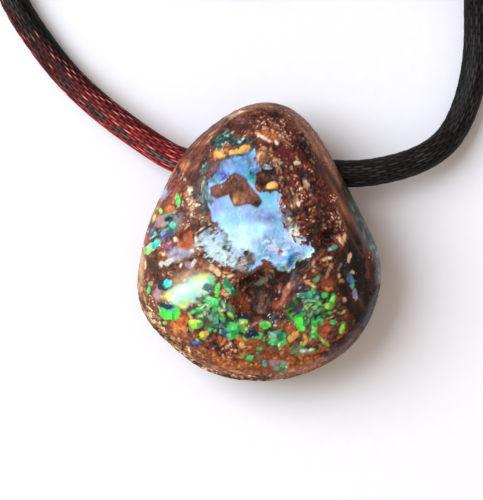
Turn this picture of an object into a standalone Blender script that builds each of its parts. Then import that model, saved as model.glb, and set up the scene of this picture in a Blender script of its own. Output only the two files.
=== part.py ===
"""Boulder opal pendant stone on a satin neck cord.

A tumbled ironstone pebble with opal grown through it, drilled from side to side. Its ground
back rests on the surface at z = 0 and its domed face looks up (+Z). The cord runs through the
hole. The rest of the cord lies beyond the stone's narrow end in a tied coil.

Lengths are written in millimetres and turned to metres where the objects are made.
"""

import math

import bmesh
import bpy
import numpy as np
from mathutils import Matrix, Vector, noise

MM = 0.001  # metres in a millimetre

# ---------------------------------------------------------------- the stone's main sizes
GIRDLE_CENTRE = (0.0, -1.5)  # where the girdle's radii are measured from
GIRDLE_RADII = (  # every 18 degrees, anticlockwise from +X
    10.9, 10.2, 10.2, 11.2, 13.3, 14.1, 12.9, 11.7, 10.7, 10.5,
    10.8, 11.5, 11.4, 11.2, 11.2, 11.1, 11.2, 11.4, 11.5, 11.3,
)
GIRDLE_HEIGHT = 5.5  # the widest level, above the ground back
DOME_RISE = 6.2  # from the girdle to the summit
SUMMIT_SHIFT = (-0.3, 4.4)  # from the girdle's centre to the summit
DOME_POWER = 1.95  # under 2 is a rounded pyramid, 2 is an ellipsoid
BELLY_DROP = 6.6  # how deep the underside would be if it weren't ground flat
BELLY_POWER = 2.3
FACE_STEPS = 46  # grid steps across the domed face
SIDE_RINGS = 7  # rings of faces from the girdle to the ground back

# ---------------------------------------------------------------- the drilled hole
HOLE_LEFT = (-6.0, 7.2, 3.6)  # two points on its axis
HOLE_RIGHT = (6.0, 6.3, 3.6)
HOLE_RADIUS = 1.65
HOLE_RUN_OUT = 6.0  # the drill passes each point by this much
MOUTH_RADII = (1.60, 2.30)  # the left mouth, worn wider where the cord pulls upwards
MOUTH_LENGTH = 5.0
MOUTH_HEADING = 160.0  # degrees, about +Z from +X

# ---------------------------------------------------------------- the face's relief
# name: x, y, half length, half width, turn in degrees, height (negative is a hollow)
RELIEF = {
    "opal face, upper lobe": (-2.2, 5.6, 2.6, 2.0, 90, -0.25),
    "opal face, middle": (-1.0, 1.8, 3.7, 2.5, 0, -0.30),
    "opal face, right lobe": (2.8, -0.9, 1.9, 1.5, 20, -0.20),
    "hollow under the opal": (-0.3, -4.9, 2.1, 1.7, 90, -1.40),
    "lip over the hollow": (0.2, -2.3, 2.3, 0.6, 0, 0.25),
    "notch beside the hollow": (3.5, -1.7, 0.8, 0.6, 30, -0.60),
    "crack from hollow to notch": (2.2, -3.6, 2.2, 0.6, 55, -0.60),
    "knob right of the crack": (5.2, -2.2, 1.7, 1.3, 10, 0.35),
    "red pit above the island": (0.5, 5.8, 1.1, 0.8, -10, -0.60),
    "ironstone island": (-2.2, 4.3, 2.2, 0.9, -35, 0.25),
    "tan knob above the pit": (0.6, 7.7, 1.1, 0.5, 0, 0.30),
    "recess under the top rim": (-1.4, 10.5, 1.0, 0.55, 0, -0.70),
    "top rim": (-1.8, 11.8, 2.4, 0.5, 12, 0.35),
    "milky facet": (-6.8, -4.4, 2.2, 1.3, 30, 0.35),
    "valley above the facet": (-7.8, -1.9, 2.0, 0.7, 5, -0.40),
    "orange loop": (-6.5, 0.4, 0.7, 1.0, 0, -0.30),
    "dark flank": (8.9, -3.9, 3.2, 1.5, 80, -0.45),
    "vein groove": (9.7, 0.6, 2.8, 0.5, 118, -0.35),
    "black gap": (6.2, 0.4, 0.8, 0.6, 0, -0.55),
    "ridge right of the opal": (5.2, 4.8, 4.2, 0.7, 112, 0.35),
    "groove behind the ridge": (3.9, 8.0, 1.4, 0.45, 120, -0.45),
    "lower right swell": (3.7, -7.5, 3.6, 2.2, 0, 0.35),
    "lower left swell": (-4.2, -7.4, 3.6, 2.2, 0, 0.30),
    "saddle between the swells": (0.0, -9.0, 0.8, 2.0, 0, -0.25),
}
LUMP_SPACING = 3.4  # broad lumps all over the stone
LUMP_HEIGHT = 0.30
KNOBBLE_SPACING = 1.3  # smaller knobbles on the ironstone
KNOBBLE_HEIGHT = 0.10
RIM_GROOVE_REACH = 0.90  # the weathered rim's groove, as a share of the way to the girdle
RIM_GROOVE_WIDTH = 0.045
RIM_GROOVE_DEPTH = 0.35
RIM_GROOVE_WANDER = 0.05

# ---------------------------------------------------------------- the cord
CORD_RADIUS = 1.25
CORD_GAP = 0.30  # between the cord and what it meets
CORD_POINT_STEP = 4.6  # along the free run, just under two diameters
COIL_CENTRE = (-2.0, 41.0)
COIL_TURN_RADII = (10.0, 12.6, 15.2)  # the three turns side by side
COIL_HEIGHT = 5.1  # two turns deep
COIL_SEGMENTS = 48
LEFT_RUN = (  # from the coil to the hole's left mouth
    (-19.95, 38.10, 1.27), (-21.2, 35.3, 1.27), (-22.8, 32.2, 1.27), (-23.7, 29.0, 1.27),
    (-23.5, 25.5, 1.27), (-22.40, 22.12, 1.27), (-20.13, 18.45, 1.30), (-18.47, 16.25, 1.50),
    (-16.49, 14.10, 2.00), (-14.00, 11.88, 2.65), (-11.15, 9.76, 3.25), (-9.20, 8.45, 3.52),
    (-7.60, 7.58, 3.60),
)
BORE_RUN = (
    (-6.0, 7.20, 3.60), (-3.0, 6.97, 3.60), (0.0, 6.75, 3.60), (3.0, 6.52, 3.60),
    (6.0, 6.30, 3.60),
)
RIGHT_RUN = (  # from the hole's right mouth, through the knot, to the coil
    (7.4, 6.22, 3.60), (8.9, 6.22, 3.58), (11.82, 6.65, 3.38), (14.86, 7.67, 2.80),
    (17.10, 9.30, 2.10), (18.25, 11.05, 1.62), (19.12, 13.30, 1.36), (19.72, 16.16, 1.28),
    (19.93, 19.2, 1.50), (19.90, 22.21, 2.25), (19.92, 24.4, 3.20), (19.61, 26.13, 3.78),
    (18.94, 28.65, 3.80), (18.26, 31.16, 3.80), (17.59, 33.67, 3.80), (16.45, 36.3, 3.80),
)
KNOT_CENTRE = (18.6, 29.9)
KNOT_HEADING = 105.0  # degrees, about +Z from +X, along the cord
KNOT_HEIGHT = 3.80
KNOT_LENGTH = 7.4
KNOT_RADIUS = 3.70
KNOT_SEGMENTS = 20
TIE_WIDTH = 3.0
TIE_THICKNESS = 0.5
TIE_RISE = 0.6  # the turns are lifted this much where the tie passes under them
TIE_TAIL = (2.4, 5.0, 0.9)  # the twisted tail on top: width, length, thickness


def new_material(name, colour, roughness, metallic=0.0):
    """A Principled material in one colour."""
    material = bpy.data.materials.new(name)
    material.use_nodes = True
    shader = material.node_tree.nodes["Principled BSDF"]
    shader.inputs["Base Color"].default_value = (*colour, 1.0)
    shader.inputs["Roughness"].default_value = roughness
    shader.inputs["Metallic"].default_value = metallic
    material.diffuse_color = (*colour, 1.0)
    return material


def add_object(name, data, material=None):
    """Link a mesh or curve to the scene as a named object."""
    thing = bpy.data.objects.new(name, data)
    bpy.context.scene.collection.objects.link(thing)
    if material:
        data.materials.append(material)
    return thing


def object_from_bmesh(name, shape, material=None):
    """Turn a finished bmesh in millimetres into an object in metres."""
    bmesh.ops.scale(shape, vec=(MM, MM, MM), verts=shape.verts)
    bmesh.ops.recalc_face_normals(shape, faces=shape.faces)
    mesh = bpy.data.meshes.new(name)
    shape.to_mesh(mesh)
    shape.free()
    return add_object(name, mesh, material)


def cut(target, cutter):
    """Subtract a cutter, which stays as a hidden wire guide."""
    cutter.hide_render = True
    cutter.display_type = "WIRE"
    step = target.modifiers.new("cut " + cutter.name, "BOOLEAN")
    step.operation = "DIFFERENCE"
    step.solver = "EXACT"
    step.object = cutter


def girdle_radius(angle):
    """The girdle's radius at an angle: the smooth closed curve through the named radii."""
    count = len(GIRDLE_RADII)
    waves = np.fft.rfft(GIRDLE_RADII) / count
    radius = waves[0].real
    for order in range(1, len(waves)):
        weight = 1.0 if order == count // 2 else 2.0
        turned = waves[order] * complex(math.cos(order * angle), math.sin(order * angle))
        radius += weight * turned.real
    return radius


def swell(x, y, landmark):
    """A landmark's smooth rise or hollow at a point."""
    centre_x, centre_y, half_length, half_width, turn, height = landmark
    angle = math.radians(turn)
    along = (x - centre_x) * math.cos(angle) + (y - centre_y) * math.sin(angle)
    across = (y - centre_y) * math.cos(angle) - (x - centre_x) * math.sin(angle)
    reach = (along / half_length) ** 2 + (across / half_width) ** 2
    return height * math.exp(-reach * reach)


def lumps(x, y, z):
    """The stone's broad lumps and small knobbles at a point."""
    broad = noise.noise(Vector((x, y, z)) / LUMP_SPACING)
    small = noise.noise(Vector((x + 40.0, y, z)) / KNOBBLE_SPACING)
    return LUMP_HEIGHT * broad + KNOBBLE_HEIGHT * small


def face_point(reach, angle):
    """A point of the domed face: reach is 0 at the summit and 1 at the girdle."""
    climb = 0.5 * math.pi * reach
    share = math.sin(climb) ** (2.0 / DOME_POWER)
    lift = math.cos(climb) ** (2.0 / DOME_POWER) if reach < 1.0 else 0.0
    radius = girdle_radius(angle) * share
    lean = 1.0 - share * share
    x = GIRDLE_CENTRE[0] + radius * math.cos(angle) + SUMMIT_SHIFT[0] * lean
    y = GIRDLE_CENTRE[1] + radius * math.sin(angle) + SUMMIT_SHIFT[1] * lean
    relief = sum(swell(x, y, landmark) for landmark in RELIEF.values())
    south = max(0.0, -math.sin(angle))
    wander = RIM_GROOVE_WANDER * noise.noise(Vector((0.6 * x, 0.6 * y, 9.0)))
    off_groove = (reach - RIM_GROOVE_REACH - wander) / RIM_GROOVE_WIDTH
    groove = math.exp(-off_groove * off_groove) * south
    z = GIRDLE_HEIGHT + DOME_RISE * lift
    fade = 1.0 - reach**6
    z += (relief + lumps(x, y, z)) * fade - RIM_GROOVE_DEPTH * groove
    return Vector((x, y, z))


def belly_level(ring):
    """A side ring's share of the girdle's radius, and its height."""
    last_climb = math.asin((GIRDLE_HEIGHT / BELLY_DROP) ** (0.5 * BELLY_POWER))
    climb = last_climb * ring / SIDE_RINGS
    share = math.cos(climb) ** (2.0 / BELLY_POWER)
    drop = BELLY_DROP * math.sin(climb) ** (2.0 / BELLY_POWER)
    return share, GIRDLE_HEIGHT - drop


def side_point(ring, angle):
    """A point of the rounded side, from the girdle down to the ground back."""
    share, z = belly_level(ring)
    radius = girdle_radius(angle) * share
    x = GIRDLE_CENTRE[0] + radius * math.cos(angle)
    y = GIRDLE_CENTRE[1] + radius * math.sin(angle)
    swing = math.sin(math.pi * ring / SIDE_RINGS)
    push = lumps(x, y, z) * swing
    if ring == SIDE_RINGS:
        z = 0.0
    return Vector((x + push * math.cos(angle), y + push * math.sin(angle), z))


def stone_shape():
    """The stone before drilling: a square grid bent to a disc, with sides and a flat back."""
    shape = bmesh.new()
    bmesh.ops.create_grid(shape, x_segments=FACE_STEPS, y_segments=FACE_STEPS, size=1.0)
    angles = {}
    for vert in shape.verts:
        a, b = vert.co.x, vert.co.y
        reach = max(abs(a), abs(b))
        if reach < 1e-6:
            angle = 0.0
        elif abs(a) >= abs(b):
            angle = 0.25 * math.pi * b / a + (math.pi if a < 0 else 0.0)
        else:
            angle = 0.5 * math.pi - 0.25 * math.pi * a / b + (math.pi if b < 0 else 0.0)
        angles[vert] = angle
        vert.co = face_point(min(reach, 1.0), angle)
    edges = [edge for edge in shape.edges if edge.is_boundary]
    for ring in range(1, SIDE_RINGS + 1):
        above = {vert for edge in edges for vert in edge.verts}
        grown = bmesh.ops.extrude_edge_only(shape, edges=edges)["geom"]
        edges = [item for item in grown if isinstance(item, bmesh.types.BMEdge)]
        edges = [edge for edge in edges if edge.is_boundary]
        for vert in [item for item in grown if isinstance(item, bmesh.types.BMVert)]:
            parent = next(e.other_vert(vert) for e in vert.link_edges
                          if e.other_vert(vert) in above)
            angles[vert] = angles[parent]
            vert.co = side_point(ring, angles[vert])
    bmesh.ops.contextual_create(shape, geom=edges)
    return shape


def rod(name, start, heading, length, radii, segments=24):
    """A closed cone or cylinder from one point along a heading (a hidden cutter)."""
    shape = bmesh.new()
    bmesh.ops.create_cone(shape, cap_ends=True, segments=segments, radius1=radii[0],
                          radius2=radii[1], depth=length)
    middle = Vector(start) + heading * (0.5 * length)
    place = Matrix.Translation(middle) @ heading.to_track_quat("Z", "Y").to_matrix().to_4x4()
    bmesh.ops.transform(shape, matrix=place, verts=shape.verts)
    return object_from_bmesh(name, shape)


def make_stone():
    """The stone with its drilled hole and its worn left mouth."""
    ironstone = new_material("polished ironstone", (0.19, 0.08, 0.035), 0.25)
    stone = object_from_bmesh("boulder_opal", stone_shape(), ironstone)
    stone.data.shade_smooth()
    stone.data.set_sharp_from_angle(angle=math.radians(50))
    axis = (Vector(HOLE_RIGHT) - Vector(HOLE_LEFT)).normalized()
    start = Vector(HOLE_LEFT) - axis * HOLE_RUN_OUT
    length = (Vector(HOLE_RIGHT) - Vector(HOLE_LEFT)).length + 2 * HOLE_RUN_OUT
    cut(stone, rod("drill", start, axis, length, (HOLE_RADIUS, HOLE_RADIUS)))
    turn = math.radians(MOUTH_HEADING)
    outwards = Vector((math.cos(turn), math.sin(turn), 0.0))
    cut(stone, rod("mouth_reamer", HOLE_LEFT, outwards, MOUTH_LENGTH, MOUTH_RADII))
    return stone


def smooth_run(points, step):
    """Even points along the natural cubic curve through a route's points."""
    knots = np.array(points, dtype=float)
    spans = np.linalg.norm(np.diff(knots, axis=0), axis=1)
    at = np.concatenate([[0.0], np.cumsum(spans)])
    count = len(knots)
    system = np.eye(count)
    bends = np.zeros((count, 3))
    for i in range(1, count - 1):
        system[i, i - 1 : i + 2] = (spans[i - 1], 2 * (spans[i - 1] + spans[i]), spans[i])
        bends[i] = 6 * ((knots[i + 1] - knots[i]) / spans[i]
                        - (knots[i] - knots[i - 1]) / spans[i - 1])
    bends = np.linalg.solve(system, bends)
    fine = []
    for i in range(count - 1):
        for along in np.linspace(0.0, spans[i], 24, endpoint=(i == count - 2)):
            left, right = spans[i] - along, along
            fine.append((bends[i] * left**3 + bends[i + 1] * right**3) / (6 * spans[i])
                        + (knots[i] / spans[i] - bends[i] * spans[i] / 6) * left
                        + (knots[i + 1] / spans[i] - bends[i + 1] * spans[i] / 6) * right)
    fine = np.array(fine)
    travel = np.concatenate([[0.0], np.cumsum(np.linalg.norm(np.diff(fine, axis=0), axis=1))])
    wanted = np.linspace(0.0, travel[-1], round(travel[-1] / step) + 1)
    return np.stack([np.interp(wanted, travel, fine[:, k]) for k in range(3)], axis=1)


def make_cord():
    """The free run of the cord: one tube with closed ends."""
    satin = new_material("braided satin", (0.10, 0.035, 0.03), 0.45)
    curve = bpy.data.curves.new("neck_cord", "CURVE")
    curve.dimensions = "3D"
    curve.bevel_depth = CORD_RADIUS * MM
    curve.bevel_resolution = 2
    curve.use_fill_caps = True
    points = smooth_run(LEFT_RUN + BORE_RUN + RIGHT_RUN, CORD_POINT_STEP)
    spline = curve.splines.new("POLY")
    spline.points.add(len(points) - 1)
    for point, place in zip(spline.points, points):
        point.co = (*(place * MM), 1.0)
    return add_object("neck_cord", curve, satin)


def turned_ring(name, profile, segments, place, material):
    """A solid turned from a closed profile of (radius, height) points about +Z."""
    shape = bmesh.new()
    verts = [shape.verts.new((radius, 0.0, height)) for radius, height in profile]
    edges = [shape.edges.new((verts[i - 1], verts[i])) for i in range(len(verts))]
    bmesh.ops.spin(shape, geom=verts + edges, cent=(0, 0, 0), axis=(0, 0, 1),
                   angle=math.tau, steps=segments, use_merge=True)
    bmesh.ops.remove_doubles(shape, verts=shape.verts, dist=1e-4)
    bmesh.ops.transform(shape, matrix=place, verts=shape.verts)
    ring = object_from_bmesh(name, shape, material)
    ring.data.shade_smooth()
    ring.data.set_sharp_from_angle(angle=math.radians(50))
    return ring


def box(name, low, high, material=None):
    """A plain closed block between two corners."""
    shape = bmesh.new()
    bmesh.ops.create_cube(shape, size=1.0)
    size = Vector(high) - Vector(low)
    place = Matrix.Translation((Vector(high) + Vector(low)) / 2) @ Matrix.Diagonal((*size, 1.0))
    bmesh.ops.transform(shape, matrix=place, verts=shape.verts)
    return object_from_bmesh(name, shape, material)


def make_coil():
    """The coil's outer shape: a ring with round shoulders, notched under the tie."""
    satin = new_material("coiled satin", (0.10, 0.035, 0.03), 0.45)
    inner = COIL_TURN_RADII[0] - CORD_RADIUS
    outer = COIL_TURN_RADII[-1] + CORD_RADIUS
    ease = 0.8  # the shoulders' chamfer
    profile = (
        (inner, ease), (inner + ease, 0.0), (outer - ease, 0.0), (outer, ease),
        (outer, COIL_HEIGHT - ease), (outer - ease, COIL_HEIGHT),
        (inner + ease, COIL_HEIGHT), (inner, COIL_HEIGHT - ease),
    )
    place = Matrix.Translation((*COIL_CENTRE, 0.0))
    coil = turned_ring("cord_coil", profile, COIL_SEGMENTS, place, satin)
    half = 0.5 * TIE_WIDTH + CORD_GAP
    x, y = COIL_CENTRE
    depth = TIE_THICKNESS + CORD_GAP + 0.05
    cut(coil, box("tie_notch", (x - half, y + inner - 2, -1.0), (x + half, y + outer + 2, depth)))
    return coil


def make_tie():
    """The flat band round the coil's turns, with the twisted tail on top."""
    paper = new_material("paper twist tie", (0.03, 0.03, 0.03), 0.7)
    x, y = COIL_CENTRE
    inner = y + COIL_TURN_RADII[0] - CORD_RADIUS - CORD_GAP
    outer = y + COIL_TURN_RADII[-1] + CORD_RADIUS + CORD_GAP
    top = COIL_HEIGHT + TIE_RISE + CORD_GAP
    half = 0.5 * TIE_WIDTH
    wall = TIE_THICKNESS
    band = box("cord_tie", (x - half, inner - wall, 0.02), (x + half, outer + wall, top + wall),
               paper)
    cut(band, box("tie_window", (x - half - 1, inner, wall), (x + half + 1, outer, top)))
    width, length, thickness = TIE_TAIL
    middle = 0.5 * (inner + outer)
    low = (x - 0.5 * width, middle - 0.5 * length, top + 0.5 * wall)
    high = (x + 0.5 * width, middle + 0.5 * length, top + wall + thickness)
    tail = box("tie_tail", low, high)
    tail.hide_render = True
    tail.display_type = "WIRE"
    join = band.modifiers.new("join tail", "BOOLEAN")
    join.operation = "UNION"
    join.solver = "EXACT"
    join.object = tail
    return band


def make_knot():
    """The barrel knot: a ring of three snug turns round the cord."""
    satin = new_material("knotted satin", (0.07, 0.03, 0.028), 0.45)
    bore = CORD_RADIUS + CORD_GAP
    half = 0.5 * KNOT_LENGTH
    ease = 0.9  # how far its ends round over
    profile = (
        (bore, -half + 0.4), (bore + 0.4, -half), (KNOT_RADIUS - ease, -half),
        (KNOT_RADIUS, -half + ease), (KNOT_RADIUS, half - ease), (KNOT_RADIUS - ease, half),
        (bore + 0.4, half), (bore, half - 0.4),
    )
    turn = math.radians(KNOT_HEADING)
    along = Vector((math.cos(turn), math.sin(turn), 0.0))
    place = Matrix.Translation((*KNOT_CENTRE, KNOT_HEIGHT))
    place = place @ along.to_track_quat("Z", "Y").to_matrix().to_4x4()
    return turned_ring("cord_knot", profile, KNOT_SEGMENTS, place, satin)


def main():
    for thing in list(bpy.data.objects):
        bpy.data.objects.remove(thing, do_unlink=True)
    make_stone()
    make_cord()
    make_coil()
    make_tie()
    make_knot()


main()
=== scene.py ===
"""Looks for the boulder opal pendant: the polished stone, its satin cord, knot and tie.

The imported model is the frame. The stone is rebuilt on the same driving values as the solid,
with a finer surface, and every mark on it is a patch with a place and a size in
millimetres. The cord is one path from hole to hole. Lengths are in millimetres in the tables
and in metres on the objects.
"""

import math

import bmesh
import bpy
import numpy as np
from mathutils import Matrix, Vector, noise


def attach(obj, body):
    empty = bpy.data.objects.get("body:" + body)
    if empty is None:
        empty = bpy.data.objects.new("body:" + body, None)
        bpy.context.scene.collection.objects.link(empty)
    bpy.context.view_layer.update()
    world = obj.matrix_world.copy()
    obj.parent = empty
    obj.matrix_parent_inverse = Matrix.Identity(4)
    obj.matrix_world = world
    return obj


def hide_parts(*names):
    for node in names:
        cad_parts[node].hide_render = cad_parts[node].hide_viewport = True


bl_info = {
    "name": "Boulder opal pendant",
    "version": (1, 0, 0),
    "blender": (4, 5, 0),
    "location": "3D View > Sidebar > Boulder opal",
    "description": "Builds a tumbled boulder opal pendant stone with its satin neck cord",
    "category": "Object",
}

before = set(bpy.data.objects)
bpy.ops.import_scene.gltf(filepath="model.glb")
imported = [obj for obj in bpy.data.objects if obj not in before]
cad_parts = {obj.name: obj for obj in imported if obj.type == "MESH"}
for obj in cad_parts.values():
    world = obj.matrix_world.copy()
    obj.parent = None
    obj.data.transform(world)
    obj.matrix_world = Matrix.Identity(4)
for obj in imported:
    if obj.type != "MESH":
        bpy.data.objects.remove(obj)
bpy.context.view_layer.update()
MM = 0.001  # metres in a millimetre

# ---------------- the stone's form, in mm
GIRDLE_CENTRE = (0.0, -1.5)  # where the girdle's radii are measured from
GIRDLE_RADII = (  # every 18 degrees, anticlockwise from +X
    10.9, 10.2, 10.2, 11.2, 13.3, 14.1, 12.9, 11.7, 10.7, 10.5,
    10.8, 11.5, 11.4, 11.2, 11.2, 11.1, 11.2, 11.4, 11.5, 11.3,
)
GIRDLE_HEIGHT = 5.5  # the widest level, above the ground back
DOME_RISE = 6.2  # from the girdle to the summit
SUMMIT_SHIFT = (-0.3, 4.4)  # from the girdle's centre to the summit
DOME_POWER = 1.95
BELLY_DROP = 6.6  # how far the side would drop if the back were not ground
BELLY_POWER = 2.3
SIDE_RINGS = 12  # rings of faces from the girdle to the ground back
BACK_RINGS = 3  # rings of faces from the back's edge to its middle
RING_CROWDING = 1.35  # how much closer the face's rings lie near the girdle
HOLE_LEFT = (-6.0, 7.2, 3.6)  # two points on the drilled hole's axis
HOLE_RIGHT = (6.0, 6.3, 3.6)
HOLE_RADIUS = 1.65
HOLE_RUN_OUT = 6.0  # the drill passes each point by this much
MOUTH_RADII = (1.6, 2.3)  # the left mouth, worn wider where the cord pulls upwards
MOUTH_LENGTH = 5.0
MOUTH_HEADING = 160.0  # degrees, about +Z from +X
RIM_GROOVE_REACH = 0.9  # the weathered rim's groove, as a share of the way to the girdle
RIM_GROOVE_WIDTH = 0.045
RIM_GROOVE_DEPTH = 0.35
RIM_GROOVE_WANDER = 0.05
LUMP_SPACING, LUMP_HEIGHT = 3.4, 0.3
KNOBBLE_SPACING, KNOBBLE_HEIGHT = 1.3, 0.1
GRAIN_SPACINGS = (0.5, 0.24)  # the undercut ironstone's sugary surface
GRAIN_HEIGHTS = (0.07, 0.035)

# a mark is x, y, half length, half width and turn in degrees
# name: mark, height (negative is a hollow)
RELIEF = {
    "opal, upper lobe": (-2.2, 5.6, 2.6, 2, 90, -0.25),
    "opal, middle": (-1, 1.8, 3.7, 2.5, 0, -0.3),
    "opal, right lobe": (2.8, -0.9, 1.9, 1.5, 20, -0.2),
    "hollow under the opal": (-0.3, -4.9, 2.1, 1.7, 90, -1.4),
    "lip over the hollow": (0.2, -2.3, 2.3, 0.6, 0, 0.25),
    "notch beside the hollow": (3.5, -1.7, 0.8, 0.6, 30, -0.6),
    "crack to the notch": (2.2, -3.6, 2.2, 0.75, 55, -0.45),
    "knob by the crack": (5.2, -2.2, 1.7, 1.3, 10, 0.35),
    "red pit": (0.5, 5.8, 1.1, 0.8, -10, -0.6),
    "ironstone island": (-2.2, 4.3, 2.2, 0.9, -35, 0.25),
    "tan knob": (0.6, 7.7, 1.1, 0.5, 0, 0.3),
    "recess under the rim": (-1.6, 10.5, 1.2, 0.55, 0, -0.4),
    "top rim": (-1.8, 11.8, 2.4, 0.5, 12, 0.35),
    "milky facet": (-6.8, -4.4, 2.2, 1.3, 30, 0.35),
    "valley above it": (-7.8, -1.9, 2, 0.7, 5, -0.4),
    "orange loop": (-6.5, 0.4, 0.7, 1, 0, -0.3),
    "dark flank": (8.9, -3.9, 3.2, 1.5, 80, -0.45),
    "vein groove": (9.7, 0.6, 2.8, 0.5, 118, -0.35),
    "black gap": (6.2, 0.4, 0.8, 0.6, 0, -0.55),
    "ridge right of the opal": (5.2, 4.8, 4.2, 0.7, 112, 0.35),
    "groove behind it": (3.9, 8, 1.4, 0.45, 120, -0.45),
    "lower right swell": (3.7, -7.5, 3.6, 2.2, 0, 0.35),
    "lower left swell": (-4.2, -7.4, 3.6, 2.2, 0, 0.3),
    "saddle between them": (0, -9, 0.8, 2, 0, -0.25),
}

# small pits and pebbles: mark, height
DETAIL = (
    (-3.1, -0.55, 0.22, 0.16, 0, -0.3), (-1.2, -1, 0.18, 0.14, 0, -0.35),
    (-4.85, -0.55, 0.2, 0.16, 0, -0.25), (-2.65, -0.75, 0.15, 0.12, 0, -0.25),
    (1.97, -1, 0.22, 0.2, 0, -0.22), (-1.3, -1.9, 0.45, 0.35, 30, 0.2),
    (-0.8, -2.1, 0.25, 0.15, 20, -0.35), (-1.7, -1.4, 0.3, 0.22, -20, 0.15),
    (-3.65, 7.9, 0.55, 0.45, 0, 0.22), (-2, 8, 1, 0.28, 7, 0.18), (1.05, 5, 0.5, 0.36, 8, 0.25),
    (1.6, 8.95, 0.25, 0.15, -60, 0.15), (3.3, 7.1, 0.3, 0.18, 10, 0.15), (7.3, 0, 0.5, 0.3, -70, 0.18),
    (-0.3, -4.2, 1, 0.8, 60, -0.15), (1.1, -4.7, 0.9, 0.7, 70, -0.15), (-2.3, -3.5, 1.6, 0.3, -44, 0.2),
    (3.75, -1.85, 0.45, 0.35, 40, -0.35), (6.2, 0.8, 0.5, 0.4, 0, -0.35),
    (-5.35, 0.95, 0.9, 0.2, 85, -0.18), (-6.65, 0.35, 0.45, 0.6, 0, -0.25),
    (-6, 0.5, 0.9, 0.22, 80, 0.14), (4.3, 7.8, 1.5, 0.2, -58, -0.3), (8, 1.4, 2.6, 0.22, -64, -0.22),
    (-7.4, 6.6, 0.3, 0.2, -60, 0.12), (-6.85, 5.7, 0.35, 0.22, -60, 0.14),
)

# ---------------- the stone's colours
# name, mark, softness, colour, how sugary
ZONES = (
    ("top cap", -0.7, 12, 3.53, 0.84, 0, 0.4, "#8A5238", 0.6),
    ("bank by the opal", -5.2, 4.3, 3.19, 0.81, 82, 0.4, "#582A1B", 0.6),
    ("mauve bed", -8.6, 1.9, 1.04, 0.76, 10, 0.3, "#97605C", 0.2),
    ("bank under flecks", -4.5, 1.6, 1.85, 1.01, 10, 0.4, "#8A4E30", 0.9),
    ("grey chalk", -7.2, -1.2, 1.43, 0.64, 22, 0.4, "#A89C9C", 0.7),
    ("rusty ground", -9.2, -1.8, 1.51, 1.01, 0, 0.4, "#7C4728", 0.9),
    ("brown ground", -6.2, -2.2, 2.18, 0.67, 8, 0.3, "#704028", 0.8),
    ("pale left rim", -10.7, -2.3, 2.02, 0.27, 88, 0.15, "#C19262", 0.2),
    ("lower left rim", -10.4, -5.5, 2.02, 0.4, -74, 0.2, "#A9754A", 0.6),
    ("sugary right", 3.9, 4.6, 6.39, 2.86, -62, 0.6, "#68241C", 1),
    ("sugary top", 0.3, 10.5, 2.35, 1.34, 0, 0.5, "#60241A", 0.9),
    ("black gap", 6.1, 0.8, 0.71, 0.57, 0, 0.2, "#140C0A", 0.2),
    ("honey foot", -1, -9.7, 9.08, 2.18, 0, 0.7, "#98562A", 0.4),
    ("tan piece", 0.3, 7.7, 0.71, 0.64, 0, 0.2, "#8E5A38", 0.6),
    ("orange glass", 0.8, 9.5, 0.97, 0.57, -20, 0.2, "#B44C20", 0.3),
    ("cream fleck", 0.3, 9.5, 0.67, 0.18, -28, 0.08, "#F4D6A0", 0.1),
    ("red pit", 0.5, 5.75, 0.91, 0.78, 10, 0.12, "#220605", 0.4),
    ("gold pebble", 1.1, 5.05, 0.52, 0.36, 14, 0.07, "#EEB566", 0),
    ("cream chips", 7.35, 0.1, 0.42, 0.2, 120, 0.1, "#E0B884", 0.3),
    # partly the soft edge of the milky facet's painted highlight
    ("cream haze", -6.75, -3.4, 2.2, 0.7, 33, 0.6, "#A8805C", 0.15),
    ("orange loop", -6.7, 0.1, 0.84, 0.71, 90, 0.12, "#A8562F", 0.1),
    ("orange loop's heart", -7, 1, 0.67, 0.42, 100, 0.15, "#7C3A2A", 0.1),
)

# the hues of the chips, of the opal's fire and of the paint
MINERALS = {
    "black": "#130E0D", "soot": "#26140F", "umber": "#3E2016", "brown": "#69351F",
    "rust": "#95442A", "orange": "#C46433", "amber": "#DE8A45", "honey": "#B47A42", "tan": "#C9A178",
    "cream": "#F0CFA2", "pearl": "#FBEBD0", "gold": "#EEB45E", "pink": "#D8959A",
    "mauve": "#A9848E", "maroon": "#6B1E26", "plum": "#84457A", "grey": "#7C766E", "chalk": "#C9CBC6",
    "lavender": "#A8A8C4", "slate": "#46526C", "navy": "#1E2C50", "indigo": "#3C4BA2",
    "violet": "#5A45B8", "blue": "#4E78A8", "deep": "#1F4A3C", "moss": "#4A6E44",
    "sage": "#84A078", "olive": "#6C7A3C", "sheen": "#66705F", "emerald": "#38B868", "fire": "#54F450",
    "lime": "#A8EE5C", "acid": "#E4EE54", "leaf": "#E0F0A8", "mint": "#9CF0B8",
    "ice": "#E8FFF4", "aqua": "#4CE4CC", "sea": "#4FA890", "cyan": "#7AF6F4",
    "teal": "#26605C", "spring": "#48DC6C",
    # what is laid over broad stretches of ironstone and opal
    "worn black": "#120907", "worn tan": "#9C5E42", "worn cream": "#F2CCA8", "vein grey": "#747A84",
    "vein green": "#222C22", "rim brown": "#2C1710", "rim line": "#A87C50",
    # painted sheen and painted highlights
    "painted sheen grey": "#A2948C", "glint": "#FFFAF0", "fire glint": "#F4FFF4",
    "opal violet": "#8E98E0", "opal cyan": "#86D4EA", "opal spark": "#E4F4FF",
    "opal white": "#E8F2FC", "opal indigo": "#4A5CA8", "painted opal edge highlight": "#D4FCEC", "island": "#693422",
    "island rim": "#3C1C12", "side brown": "#7A4426", "side tan": "#B98A5C", "side dark": "#34180F",
    "bore": "#4A2618",
}

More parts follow.
